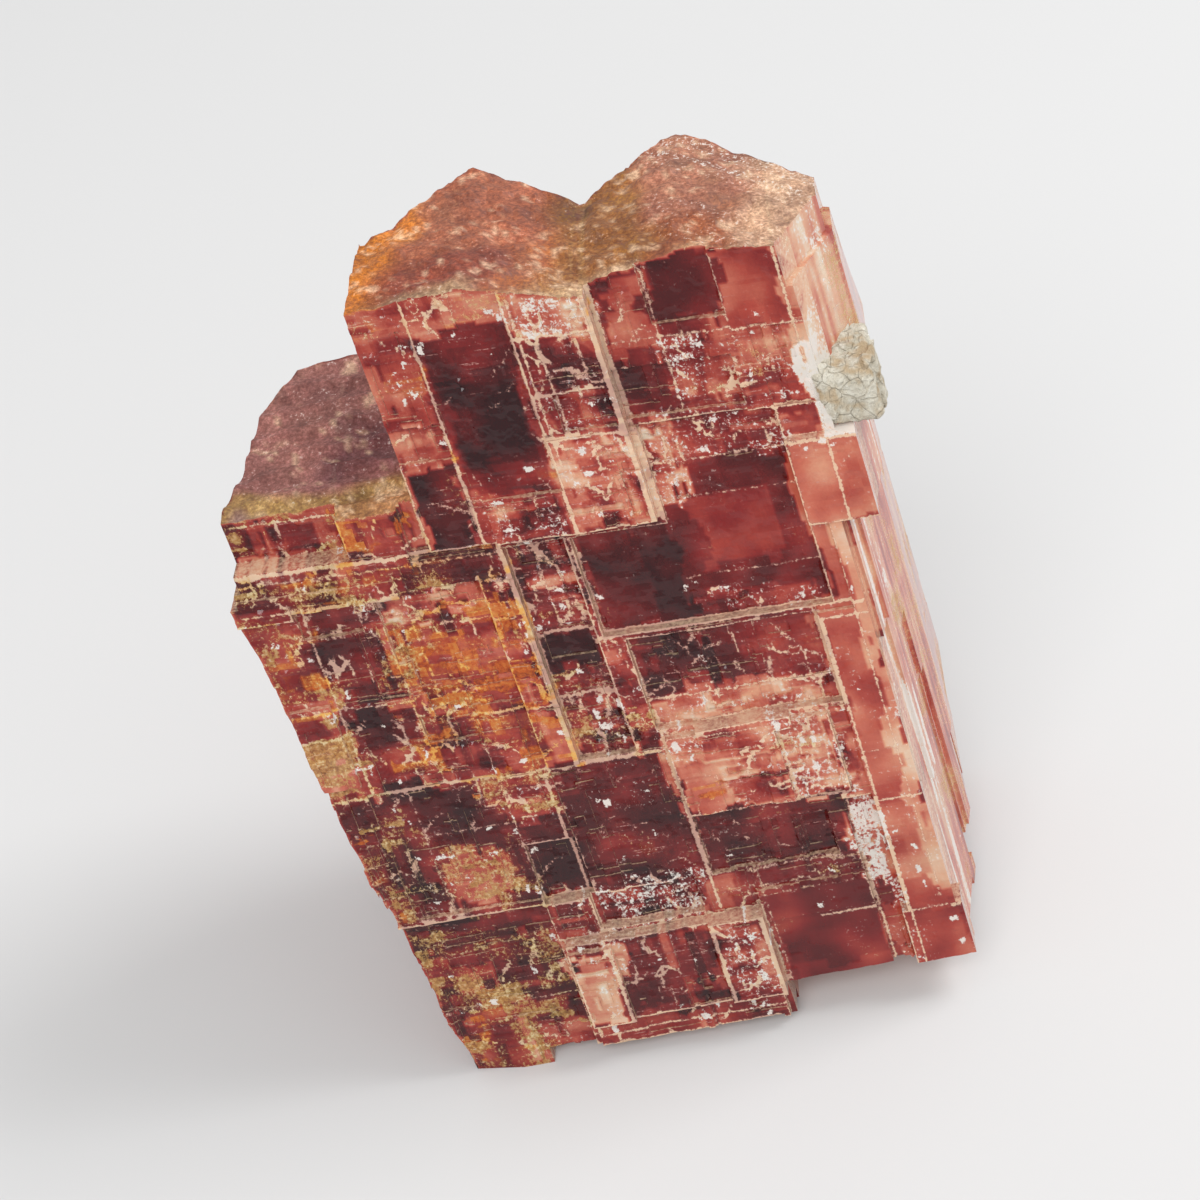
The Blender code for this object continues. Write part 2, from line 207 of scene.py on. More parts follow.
# plates of the front: across, rise, and how far the plate's face lies back
frontPlates = {
    "rightField": ((14.25, 22), (26.75, 35), 0.25),
    "rightFieldLow": ((14.5, 19.75), (18.5, 26.75), 0.5),
    "topRightCell": ((16.25, 19), (30.5, 35), 0.5),
    "notchedCell": ((14.25, 18.75), (27, 29), 0.5),
    "paleTab": ((18.75, 19.75), (26.75, 28.5), 0),
    "upperPlate": ((5.75, 14.25), (shelfRise, 35), -0.75),
    "upperPlateLeft": ((5, 7.75), (26.75, 35), -0.5),
    "upperPlateRight": ((11.25, 14.25), (shelfRise, 35), -1),
    "upperPlateWindow": ((12, 14), (27.25, 28.75), -0.75),
    "upperPlateFoot": ((8.25, 11.25), (shelfRise, 25), -1),
    "shoulderBox": ((2.75, 5), (shelfRise, 26.25), -0.25),
    "ledgeBand": ((-3, 8.25), (21.75, shelfRise), -0.25),
    "ledgeBandLow": ((-3, 4), (21.25, 22.25), -0.5),
    "darkBlock": ((10.75, 14.5), (18.5, 22.75), 0.5),
    "darkCells": ((8.25, 10.5), (13.5, 22.75), 0.5),
    "darkWindow": ((8.5, 10.25), (17.75, 19), 0.75),
    "stainedRib": ((7, 8.25), (13.5, 22), -0.25),
    "stainedField": ((3, 7), (15.25, 21.5), 0.25),
    "stainedBox": ((5, 7), (13.5, 16.5), 0),
    "leftWindow": ((0, 2.25), (20.25, 21.5), 0.375),
    "leftFrame": ((0.5, 3.5), (16.5, 18.75), 0),
    "leftCornerBox": ((-1.5, 0), (14, 17.5), -0.25),
    "leftField": ((-3, 5), (7.75, 13.5), 0.25),
    "leftFieldLow": ((-3, 5), (0, 7.5), 0.5),
    "leftStrip": ((-3, 0), (7.5, 14), 0),
    "middleBlock": ((7, 11.5), (7.5, 13.25), 0.25),
    "middlePocket": ((5, 7), (7.5, 10.25), 0.75),
    "midField": ((11.5, 19), (14.25, 18.25), 0.5),
    "midFieldLeft": ((11.5, 13), (16, 18.25), 0.625),
    "peachBlock": ((11.75, 18.25), (10.5, 14), -0.5),
    "peachBlockTop": ((13, 16.75), (13, 14.25), -0.75),
    "peachBlockCell": ((16, 18), (10.5, 13.75), -0.25),
    "wineField": ((11.75, 17.75), (0, 10.25), 0.25),
    "wineStep": ((11.75, 17), (7.5, 9.5), 0.5),
    "wineStepLow": ((13.25, 17.75), (5, 6.5), 0),
    "brokenBand": ((17.75, 19.25), (1, 10), 0.5),
    "rightRib": ((19, 21), (1, 18.25), -0.25),
    "rightRibOuter": ((20.5, 21), (5, 22), -0.25),
    "rightCorner": ((18.75, 21.25), (1, 4.5), -0.25),
    "salmonBlock": ((19.75, 22.75), (22, 25.5), -0.5),
    "cracklePatch": ((6.75, 11), (6, 7.5), 0.5),
    "footBlock": ((5.25, 13.25), (2, 5.75), -0.75),
    "footBlockLeft": ((5.25, 7), (2, 5.5), -1),
    "footBlockRight": ((11, 13.25), (2, 5.75), -1),
    "footLip": ((5.25, 13), (0.5, 2), -0.25),
    "footLipLow": ((3, 12.75), (0, 0.75), 0.75),
}

# plates of the right side: back, rise, and how far across the plate's face lies
rightPlates = {
    "corner": ((-2, 0.75), (0, 4.5), 21.25),
    "foot": ((5.5, 16), (0, 3), 20.25),
    "footStep": ((7, 16), (3, 6.5), 20.75),
    "salmonBlock": ((-2, 3), (22, 25.5), 22.5),
    "salmonBack": ((3, 16), (22, 25.5), 21.5),
    "upper": ((-2, 16), (25.5, 31.25), 21.75),
    "upperTop": ((-2, 16), (31.25, 35), 21.5),
}
# how the right side leans outwards going back: it starts from this far across and grows over this
# width, and each band is between two rises and two back places and reaches this far
rightLean = {
    "from": 19.0,
    "over": 1.5,
    "bands": [(0, 25.5, (0.5, 8), 1.25), (25.5, 36, (0.25, 3.75), 1.75)],
}

# plates of the left side: back, rise, and where across the plate's face lies
leftPlates = {
    "upperBlock": ((-2, 16), (shelfRise, 35), 5.75),
    "upperBlockLow": ((-2, 0.25), (shelfRise, 26.75), 5),
    "shoulder": ((0, 16), (shelfRise, 27.75), -1.5),
    "ledgeLow": ((-2, 16), (22, 22.5), -1.75),
    "ledgeHigh": ((-2, 16), (22.5, shelfRise), -1.5),
    "shoulderBox": ((-0.5, 0.5), (shelfRise, 26.25), 2.75),
    "foot": ((-2, 16), (0, 7.5), -0.75),
}

# plates of the back: across, rise, and how deep the plate's face lies
backPlates = {
    "upper": ((-3, 25), (shelfRise, 35), 11.25),
    "shoulder": ((-3, 5.75), (22, 35), 8.5),
    "middle": ((1, 25), (11, shelfRise), 13.25),
    "slab": ((6, 15), (3, 17), 14),
    "slabChip": ((8, 12), (6, 12), 14.5),
    "rightSlab": ((12, 19), (15, 25), 12.75),
    "leftChip": ((-3, 4), (0, 9), 13),
    "rightChip": ((17, 25), (0, 12), 13.5),
}

# plates of the base: across, back, and how high above the floor they lie
basePlates = {
    "frontChip": ((3, 13.25), (-2, 1.25), 0.5),
    "rightFront": ((13.25, 25), (-2, 4.5), 2),
    "rightMiddle": ((16.5, 25), (4.5, 8.5), 1.25),
    "rightBack": ((19, 25), (8.5, 16), 0.5),
    "backLeftChip": ((-3, 2), (10, 16), 0.75),
}

# each side: its face before its plates, its plates, the seed of its thin cleavage sheets, and those
# sheets as how many, how long and wide, how thick and how often turned
sides = {
    "front": (0, frontPlates, 41, [(90, (1, 4), (0.5, 2), 0.0625, 0.4),
                                   (420, (0.5, 3), (0.12, 0.5), 0.0625, 0.4),
                                   (320, (0.25, 0.9), (0.12, 0.4), 0.0625, 0.5)]),
    "back": (14.25, backPlates, 42, [(60, (2, 7), (1, 3.5), 0.25, 0.4),
                                     (120, (1, 4), (0.4, 1.5), 0.25, 0.4)]),
    "right": (21, rightPlates, 48, [(7, (6, 16), (0.5, 1.5), 0.125, 0),
                                    (2, (3, 9), (0.25, 0.6), 0.125, 0)]),
    "left": (-2.75, leftPlates, 45, [(40, (2, 8), (0.5, 2), 0.125, 0.3)]),
    "base": (0, basePlates, 44, [(30, (1, 3), (0.5, 1.5), 0.125, 0.5)]),
}
# a sheet lies only where its side is flat to within this, shows a finish from this far off at most,
# and keeps clear of the patch that the crystal rests on, which spans these across and back
sheetRules = {"flat": 0.13, "shift": 0.9, "clear": ((1, 16.5), (1.5, 13))}
# the front's steps are this much of their plates' depths, and the whole front lies this far forward
frontSteps = {"share": 0.6, "forward": 0.2}


def marks():
    # the grid's marks along across, back and rise
    low, high = grid["low"], grid["high"]
    front = np.arange(low[1], grid["frontEnd"], grid["frontCell"])
    deep = np.arange(grid["frontEnd"], high[1] + 0.01, grid["deepCell"])
    across = np.arange(low[0], high[0] + 0.01, grid["cell"])
    rise = np.arange(low[2], high[2] + 0.01, grid["cell"])
    return across, np.concatenate([front, deep]), rise


def cellsBetween(steps, pair):
    return slice(*np.searchsorted(steps, np.array(pair) - 1e-6))


def patchBetween(first, second, spanOne, spanTwo):
    return cellsBetween(first, spanOne), cellsBetween(second, spanTwo)


def sideLevels(side, first, second):
    level, plates, *_ = sides[side]
    levels = np.full((len(first) - 1, len(second) - 1), float(level))
    for spanOne, spanTwo, face in plates.values():
        levels[patchBetween(first, second, spanOne, spanTwo)] = face
    return levels


def leanRight(points):
    # the right side slopes outwards going back
    outer = np.clip((points[:, 0] - rightLean["from"]) / rightLean["over"], 0.0, 1.0)
    for low, high, (near, deep), reach in rightLean["bands"]:
        inside = (points[:, 2] > low - 0.01) & (points[:, 2] < high - 0.01)
        lean = np.clip((points[:, 1] - near) / (deep - near), 0.0, 1.0) * reach
        points[:, 0] += np.where(inside, outer * lean, 0.0)


def laySheets(side, levels, first, second, shifts=None, clear=None):
    # thin sheets above or below the level that they lie on; each may show a neighbouring finish
    *_, seed, sheets = sides[side]
    draw = np.random.default_rng(seed)
    reach = sheetRules["shift"]
    for count, long, wide, thick, turned in sheets:
        for _ in range(count):
            sizes = [draw.uniform(*wide), draw.uniform(*long)]
            if draw.random() < turned:
                sizes.reverse()
            one = draw.uniform(first[0] + 1.0, first[-1] - 1.0)
            two = draw.uniform(second[0], second[-1] - 1.0)
            change = thick * (1.0 if draw.random() < 0.5 else -1.0)
            shift = draw.uniform(-reach, reach, 2)
            if clear and one < clear[0][1] and one + sizes[0] > clear[0][0]:
                if two < clear[1][1] and two + sizes[1] > clear[1][0]:
                    continue
            patch = patchBetween(first, second, (one, one + sizes[0]), (two, two + sizes[1]))
            middle = levels[patch]
            if middle.size:
                flat = np.abs(middle - np.median(middle)) < sheetRules["flat"]
                middle[flat] += change
                levels[patch] = middle
                if shifts is not None:
                    shifts[patch] = shift


# the rough natural faces, each as its place over the two directions that it spans
weathered = {
    "roofAcross": (3, 9.9, 14.2, 17.9, 26),
    "roofRise": (32.2, 33, 32.4, 33.1, 32.5),
    "backEdgeAcross": (-4, 5.2, 5.9, 9.9, 14.1, 17.9, 22.9, 27),
    "backEdge": (4.5, 6.2, 4.6, 8.9, 6.2, 9.7, 5.5, 3.6),
    "foldTop": 33.5,
    "foldFoot": 13.0,
    "foldReach": 15.3,
    "shoulderAcross": (-6, -1.6, -0.9, -0.4, 0.9, 5.8),
    "shoulderBack": (0.6, 0.6, 3.1, 6.2, 8.3, 8.6),
    "shoulder": {"rise": 24.25, "across": 0.052, "back": 0.155, "twist": 0.002},
    "shoulderLayers": {"high": 0.14, "often": 2.6, "noise": (3.0, 36, 2)},
    "leftSide": {"across": -0.47, "back": 0.1275, "rise": -0.0848},
    "step": 0.20,
}


def roofRise(across, back):
    return np.interp(across, weathered["roofAcross"], weathered["roofRise"])


def shoulderRise(across, back):
    slope, layers = weathered["shoulder"], weathered["shoulderLayers"]
    flat = np.stack([across, back, np.zeros_like(across)], axis=1)
    wave = np.sin(back * layers["often"] + noiseField(flat, *layers["noise"]))
    plane = slope["rise"] + slope["across"] * (across + 4.0) + slope["back"] * (back + 3.0)
    return plane + slope["twist"] * across * back - layers["high"] * np.abs(wave)


def leftAcross(back, rise):
    plane = weathered["leftSide"]
    return plane["across"] + plane["back"] * (back + 3.0) + plane["rise"] * (rise + 1.0)


def foldBack(across, rise):
    edge = np.interp(across, weathered["backEdgeAcross"], weathered["backEdge"])
    top, low = weathered["foldTop"], weathered["foldFoot"]
    down = np.clip((top - rise) / (top - low), 0.0, 1.0)
    return edge + (weathered["foldReach"] - edge) * down * down * (3.0 - 2.0 * down)


def shoulderDepth(across, rise):
    return np.interp(across, weathered["shoulderAcross"], weathered["shoulderBack"])


# each natural face: its smooth form and height axis, its spans over the other two, the far end of
# its cutter, and its roughness as noises of a height, size, seed, octaves and gain
naturalFaces = {
    "roof": (roofRise, 2, (-6, 28), (-4, 18), 40, [(0.17, 2.2, 31, 5, 0.62), (0.11, 0.6, 32, 2, 0.7)]),
    "shoulder": (shoulderRise, 2, (-6, 5.75), (-4, 18), 40, [(0.15, 1.6, 33, 4, 0.6)]),
    "leftSide": (leftAcross, 0, (-4, 18), (-2, 36), -9, [(0.18, 1.8, 34, 5, 0.6)]),
    "fold": (foldBack, 1, (-6, 28), (11, 36), 22, [(0.15, 2.0, 35, 4, 0.6)]),
    "shoulderEnd": (shoulderDepth, 1, (-6, 5.75), (22.25, 36), 22, [(0.10, 1.5, 37, 3, 0.5)]),
}


def faceHeight(name, one, two):
    smooth, axis, *_, noises = naturalFaces[name]
    flat = np.insert(np.stack([one, two], axis=1), axis, 0.0, axis=1)
    return roughened(smooth(one, two), flat, noises)


def cutterMesh(name):
    # a closed block whose one side is the natural face
    _, axis, *spans, far, _ = naturalFaces[name]
    counts = [int((high - low) / weathered["step"]) + 1 for low, high in spans]
    marked = [np.linspace(*span, count) for span, count in zip(spans, counts)]
    one, two = (grown.ravel() for grown in np.meshgrid(*marked, indexing="ij"))
    size = len(one)
    heights = np.concatenate([faceHeight(name, one, two), np.full(size, float(far))])
    points = np.insert(np.tile(np.stack([one, two], axis=1), (2, 1)), axis, heights, axis=1)
    index = np.arange(size).reshape(counts)
    quads = np.stack([index[:-1, :-1], index[1:, :-1], index[1:, 1:], index[:-1, 1:]], axis=-1)
    rim = np.concatenate([index[:-1, 0], index[-1, :-1], index[:0:-1, -1], index[0, :0:-1]])
    after = np.roll(rim, -1)
    wall = np.stack([rim, after, after + size, rim + size], axis=1)
    faces = quads.reshape(-1, 4)[:, ::-1].tolist() + wall.tolist() + [(rim[::-1] + size).tolist()]
    mesh = bpy.data.meshes.new(name)
    mesh.from_pydata(points.tolist(), [], faces)
    tidy = bmesh.new()
    tidy.from_mesh(mesh)
    bmesh.ops.delete(tidy, geom=[v for v in tidy.verts if not v.link_faces], context="VERTS")
    bmesh.ops.recalc_face_normals(tidy, faces=tidy.faces[:])
    tidy.to_mesh(mesh)
    tidy.free()
    return mesh


def fillContacts(cells):
    # fills cells until no two meet along only an edge
    while True:
        before = int(cells.sum())
        for first, second in ((0, 1), (0, 2), (1, 2)):
            flat = np.moveaxis(cells, (first, second), (0, 1))
            a, b, c, d = flat[:-1, :-1], flat[1:, :-1], flat[:-1, 1:], flat[1:, 1:]
            one, two = a & d & ~b & ~c, b & c & ~a & ~d
            b |= one
            a |= two
        if int(cells.sum()) == before:
            return cells


def cellQuads(cells):
    # the quads round the filled cells, as corner indices (n, 4, 3), and which side each faces
    padded = np.pad(cells, 1)
    quads, kinds = [], []
    for axis in range(3):
        one, two = (other for other in range(3) if other != axis)
        before = np.roll(padded, 1, axis)
        for outward in (1, -1):
            index = np.argwhere((before & ~padded) if outward > 0 else (padded & ~before))
            corners = np.repeat(index[:, None, :], 4, axis=1)
            for i, (addOne, addTwo) in enumerate(((0, 0), (1, 0), (1, 1), (0, 1))):
                corners[:, i, one] += addOne
                corners[:, i, two] += addTwo
            if (outward > 0) == (axis == 1):
                corners = corners[:, ::-1]
            quads.append(corners - 1)
            kinds.append(np.full(len(index), axis * 2 + (outward > 0)))
    return np.concatenate(quads), np.concatenate(kinds)


frontSide = 2


def cleavageBlock(across, back, rise):
    # the block as its cleavage planes leave it, before the natural faces cut it
    shifts = np.zeros((len(across) - 1, len(rise) - 1, 2))
    front = sideLevels("front", across, rise)
    front = front * frontSteps["share"] - frontSteps["forward"]
    behind = sideLevels("back", across, rise)
    right = sideLevels("right", back, rise)
    left = sideLevels("left", back, rise)
    base = sideLevels("base", across, back)
    calm, unlaid = calmPlaces(across, rise), front.copy()
    laySheets("front", front, across, rise, shifts)
    front[calm] = unlaid[calm]
    shifts[calm] = 0.0
    laySheets("back", behind, across, rise)
    laySheets("right", right, back, rise)
    laySheets("left", left, back, rise)
    laySheets("base", base, across, back, clear=sheetRules["clear"])
    base = np.maximum(base, 0.0)

    midAcross, midBack, midRise = ((s[1:] + s[:-1]) / 2 for s in (across, back, rise))
    cells = midBack[None, :, None] > front[:, None, :]
    cells &= midBack[None, :, None] < behind[:, None, :]
    cells &= midAcross[:, None, None] < right[None]
    cells &= midAcross[:, None, None] > left[None]
    cells &= midRise[None, None, :] > base[:, :, None]
    cells[:, :, -1] = False
    quads, kinds = cellQuads(fillContacts(cells))

    shape = [len(s) for s in (across, back, rise)]
    keys = (quads[..., 0] * shape[1] + quads[..., 1]) * shape[2] + quads[..., 2]
    unique, faces = np.unique(keys, return_inverse=True)
    places = np.unravel_index(unique, shape)
    points = np.stack([s[i] for s, i in zip((across, back, rise), places)], axis=1)
    return points, faces.reshape(keys.shape), kinds, front, shifts


def dissolved(mesh, kinds):
    # joins the flat faces of every side but the front, whose fine grid carries the finish
    skin = bmesh.new()
    skin.from_mesh(mesh)
    skin.faces.ensure_lookup_table()
    flat = {face for face, kind in zip(skin.faces, kinds) if kind != frontSide}
    edges = [e for e in skin.edges if all(f in flat for f in e.link_faces)]
    verts = [v for v in skin.verts if all(f in flat for f in v.link_faces)]
    skin.normal_update()
    oneDegree, kept = math.radians(1.0), {"MATERIAL"}
    bmesh.ops.dissolve_limit(skin, angle_limit=oneDegree, verts=verts, edges=edges, delimit=kept)
    bmesh.ops.triangulate(skin, faces=skin.faces[:])
    skin.to_mesh(mesh)
    skin.free()


def cutAway(block, cutter):
    cut = block.modifiers.new("cut", "BOOLEAN")
    cut.operation = "DIFFERENCE"
    cut.solver = "MANIFOLD"
    cut.object = cutter
    cut.material_mode = "TRANSFER"
    evaluated = block.evaluated_get(bpy.context.evaluated_depsgraph_get())
    result = bpy.data.meshes.new_from_object(evaluated)
    block.modifiers.remove(cut)
    block.data = result
    bpy.data.objects.remove(cutter)


# where each finish lies on the front: across, rise, then tint (0 dark wine to 1 cream),
# cloud of fine cracks, iron stain, ochre grit and broken white
finishNames = ("tint", "cloud", "stain", "ochre", "white")
frontFinish = {
    "lowLeft": ((-3, 5), (0, 7.5), (0.18, 0.5, 0.15, 0.42, 0)),
    "lowLeftFoot": ((0, 4.5), (0, 3), (0.36, 0.5, 0.35, 0.7, 0)),
    "lowLeftStain": ((-1, 2), (4, 5.5), (0.42, 0.5, 0.3, 0.6, 0)),
    "leftField": ((-3, 5), (7.5, 13.4), (0.17, 0.55, 0.12, 0.38, 0.05)),
    "leftFieldEdge": ((-3, -0.4), (7.5, 13.4), (0.22, 0.4, 0.25, 0.45, 0)),
    "leftFieldDark": ((1, 4.6), (10.6, 13.2), (0.16, 0.4, 0.05, 0.1, 0)),
    "leftFieldOchre": ((2, 4.5), (8, 10.4), (0.45, 0.6, 0.2, 0.75, 0.1)),
    "leftUpper": ((-3, 4), (13.4, 22), (0.32, 0.65, 0.42, 0.50, 0.05)),
    "leftUpperDark": ((0.2, 3.2), (18.6, 21.4), (0.22, 0.55, 0.12, 0.15, 0.1)),
    "leftUpperWine": ((0.4, 2.6), (15.4, 18), (0.16, 0.5, 0.15, 0.1, 0)),
    "leftCorner": ((-1.5, 0.4), (13.5, 18), (0.50, 0.5, 0.35, 0.85, 0)),
    "leftMargin": ((-3, -0.6), (16, 22), (0.38, 0.4, 0.45, 0.45, 0)),
    "fracture": ((0.2, 3.9), (13.4, 15.2), (0.42, 0.6, 0.3, 0.5, 0.15)),
    "stainField": ((3, 8.2), (13.4, 22), (0.32, 0.75, 0.76, 0.42, 0.03)),
    "stainCore": ((5, 7.6), (16.4, 20.2), (0.42, 0.6, 1, 0.15, 0)),
    "stainFoot": ((6.75, 8.1), (13.4, 17.6), (0.50, 0.5, 0.95, 0.25, 0)),
    "stainSpur": ((3.4, 5), (17.4, 19.4), (0.40, 0.6, 0.8, 0.2, 0)),
    "stainDark": ((3.6, 5.6), (13.6, 16), (0.26, 0.7, 0.35, 0.2, 0.1)),
    "stainPale": ((3, 7), (20.4, 21.8), (0.56, 0.8, 0.45, 0.4, 0.15)),
    "ledge": ((-3, 8.2), (21.7, 23.25), (0.19, 0.52, 0.50, 0.36, 0)),
    "crackled": ((8.1, 10.6), (13.4, 23), (0.20, 1, 0.12, 0.2, 0.12)),
    "crackledDark": ((8.3, 10.4), (17.3, 18.8), (0, 0.2, 0, 0, 0)),
    "crackledOchre": ((8.1, 9.2), (13.6, 17.2), (0.28, 0.8, 0.3, 0.5, 0.05)),
    "crackledUpper": ((8.3, 10.4), (19.2, 22.8), (0.30, 1, 0.2, 0.2, 0.15)),
    "smoothWine": ((10.9, 14.4), (18.5, 22.9), (0.17, 0.20, 0, 0, 0)),
    "smoothWineDark": ((13.2, 14.5), (18.5, 22.9), (0.09, 0.08, 0, 0, 0)),
    "wineLow": ((6.9, 11.6), (7.6, 13.4), (0.16, 0.4, 0.05, 0.05, 0.05)),
    "wineLowPocket": ((5, 6.9), (7.6, 11.2), (0.08, 0.4, 0.08, 0.1, 0)),
    "wineLowOchre": ((4.6, 6.9), (11.2, 13.4), (0.30, 0.7, 0.2, 0.5, 0.1)),
    "midField": ((11.5, 19), (15.4, 18.5), (0.28, 0.45, 0.05, 0.05, 0.05)),
    "midFieldDark": ((12, 14.2), (15.6, 18.3), (0.16, 0.5, 0.05, 0.05, 0.05)),
    "midFieldOchre": ((10.4, 12.6), (13.4, 15.4), (0.44, 0.9, 0.2, 0.55, 0.15)),
    "peachBlock": ((11.6, 18.2), (10.5, 15.4), (0.66, 0.75, 0.08, 0.1, 0.22)),
    "peachSalmon": ((11.7, 14), (10.5, 12.6), (0.58, 0.4, 0.35, 0.05, 0)),
    "peachCream": ((16.2, 18.1), (10.4, 14), (0.52, 1, 0.05, 0.2, 0.34)),
    "peachDark": ((14.2, 16), (10.6, 11.8), (0.38, 0.7, 0.05, 0.1, 0.2)),
    "belowPeach": ((11.7, 17.8), (7.5, 10.4), (0.13, 0.40, 0.03, 0.05, 0)),
    "belowPeachWine": ((11.7, 13.4), (7.8, 10.2), (0.12, 0.4, 0.03, 0.05, 0.05)),
    "redWine": ((13.2, 17.9), (0, 7.4), (0.26, 0.12, 0, 0, 0)),
    "redWineLow": ((13.2, 17.9), (0, 2.4), (0.34, 0.12, 0, 0, 0)),
    "redWineBand": ((12.8, 17.9), (6.2, 7.6), (0.26, 0.45, 0.03, 0.12, 0.05)),
    "streaked": ((17.9, 19.3), (4.8, 10.2), (0.55, 0.7, 0, 0.05, 0.7)),
    "streakedLow": ((17.8, 19.2), (0, 4.8), (0.44, 0.4, 0, 0.05, 0.15)),
    "broken": ((6.9, 11.2), (5.9, 7.7), (0.26, 1, 0.03, 0.1, 0.42)),
    "salmonRib": ((19, 21.2), (0, 22), (0.52, 0.25, 0.02, 0, 0.05)),
    "salmonRibOuter": ((20.4, 21.2), (5, 22), (0.75, 0.3, 0.02, 0, 0.15)),
    "salmonRibBand": ((19, 20.6), (6.2, 9.8), (0.60, 0.3, 0.02, 0, 0.1)),
    "redCorner": ((19, 21.4), (0, 4.6), (0.44, 0.2, 0, 0, 0.05)),
    "salmonBlock": ((19.75, 22.8), (22, 25.5), (0.62, 0.3, 0.08, 0, 0.05)),
    "rightWine": ((14.5, 19.75), (18.5, 25), (0.22, 0.2, 0, 0, 0.03)),
    "rightWineRed": ((15.6, 18.6), (20.6, 23.6), (0.35, 0.20, 0, 0, 0)),
    "rightWineStreak": ((14.5, 19.2), (18.5, 19.4), (0.34, 0.7, 0, 0.05, 0.2)),
    "rightBand": ((14.5, 19.8), (24.8, 27), (0.32, 0.85, 0.03, 0.1, 0.3)),
    "rightBandEdge": ((14.4, 15.6), (23.4, 26.8), (0.62, 0.8, 0.1, 0.2, 0.3)),
    "upperRight": ((14.4, 19), (27, 33), (0.25, 0.38, 0.02, 0, 0)),
    "upperRightRed": ((14.6, 16.4), (29.4, 32.4), (0.47, 0.38, 0.10, 0.10, 0)),
    "upperRightDark": ((16.5, 19), (30.6, 32.9), (0.14, 0.15, 0, 0, 0)),
    "upperRightRose": ((19, 21.3), (29.8, 33), (0.44, 0.25, 0.05, 0, 0)),
    "brightFlake": ((16.3, 17.8), (27.4, 30), (0.34, 0.9, 0.05, 0.1, 0.40)),
    "peachFlank": ((17.8, 21.3), (26.6, 29.9), (0.50, 0.75, 0.1, 0.2, 0.15)),
    "palePink": ((21.3, 24.4), (28.9, 33.5), (0.74, 0.25, 0.06, 0.03, 0.08)),
    "palePinkBand": ((21.3, 24.4), (30, 30.7), (0.52, 0.4, 0.1, 0.05, 0)),
    "chalky": ((21.1, 24.4), (25.2, 29), (0.97, 0.2, 0, 0.08, 1)),
    "upperPlate": ((5, 14.3), (23.25, 33.5), (0.34, 0.55, 0.15, 0.08, 0.08)),
    "upperPlateLeft": ((5, 7.7), (26.4, 33.5), (0.46, 0.6, 0.3, 0.2, 0.08)),
    "upperPlateLeftLow": ((5, 7.6), (23.25, 26.4), (0.04, 0.35, 0.05, 0.08, 0)),
    "upperPlateRim": ((5, 5.8), (23.25, 33.5), (0.60, 0.4, 0.35, 0.3, 0)),
    "upperPlateTop": ((5.6, 14.3), (31.6, 33.5), (0.54, 0.6, 0.4, 0.3, 0.1)),
    "upperPlateFrost": ((11.2, 14.2), (30.9, 32.6), (0.66, 0.9, 0.1, 0.1, 0.42)),
    "upperPlateWine": ((7.9, 11.1), (25, 31.6), (0.18, 0.37, 0.05, 0.02, 0)),
    "upperPlateWineDark": ((8.2, 10.8), (26.2, 29.8), (0.08, 0.37, 0, 0, 0)),
    "upperPlateWindow": ((11.9, 14), (27.2, 30.6), (0.22, 0.7, 0.05, 0, 0.15)),
    "upperPlatePeach": ((11.3, 14.2), (23.25, 27), (0.56, 0.85, 0.12, 0.05, 0.15)),
    "upperPlateSpark": ((8.2, 11), (23.25, 24.7), (0.40, 1, 0.1, 0.1, 0.36)),
    "shoulderPink": ((-2, 2.7), (23.25, 24.6), (0.46, 0.75, 0.15, 0.35, 0.05)),
    "shoulderPinkDark": ((-0.4, 1.6), (23.4, 24.4), (0.26, 0.7, 0.15, 0.2, 0)),
    "shoulderLump": ((-3, -0.8), (23.25, 25.2), (0.20, 0.6, 0, 0.55, 0.1)),
    "shoulderGrit": ((-2, 2.7), (24.6, 26), (0.50, 0.4, 0.1, 0.7, 0.1)),
    "shoulderBox": ((2.7, 5.1), (23.25, 26.3), (0.34, 0.6, 0.7, 0.2, 0.05)),
    "shoulderBoxStain": ((2.7, 3.4), (24.3, 26.2), (0.50, 0.3, 1, 0.2, 0)),
    "foot": ((5, 13.3), (2, 5.9), (0.36, 0.65, 0.03, 0.03, 0.15)),
    "footLeft": ((5.1, 6.9), (2.1, 5.4), (0.82, 0.5, 0.08, 0.05, 0.2)),
    "footWine": ((7.1, 10.9), (2.1, 5.6), (0.20, 0.6, 0.03, 0, 0.05)),
    "footRight": ((11.2, 13.1), (2.1, 5.6), (0.44, 0.9, 0.05, 0.15, 0.32)),
    "footLip": ((3, 13.3), (0, 2), (0.37, 0.6, 0.15, 0.2, 0.05)),
}


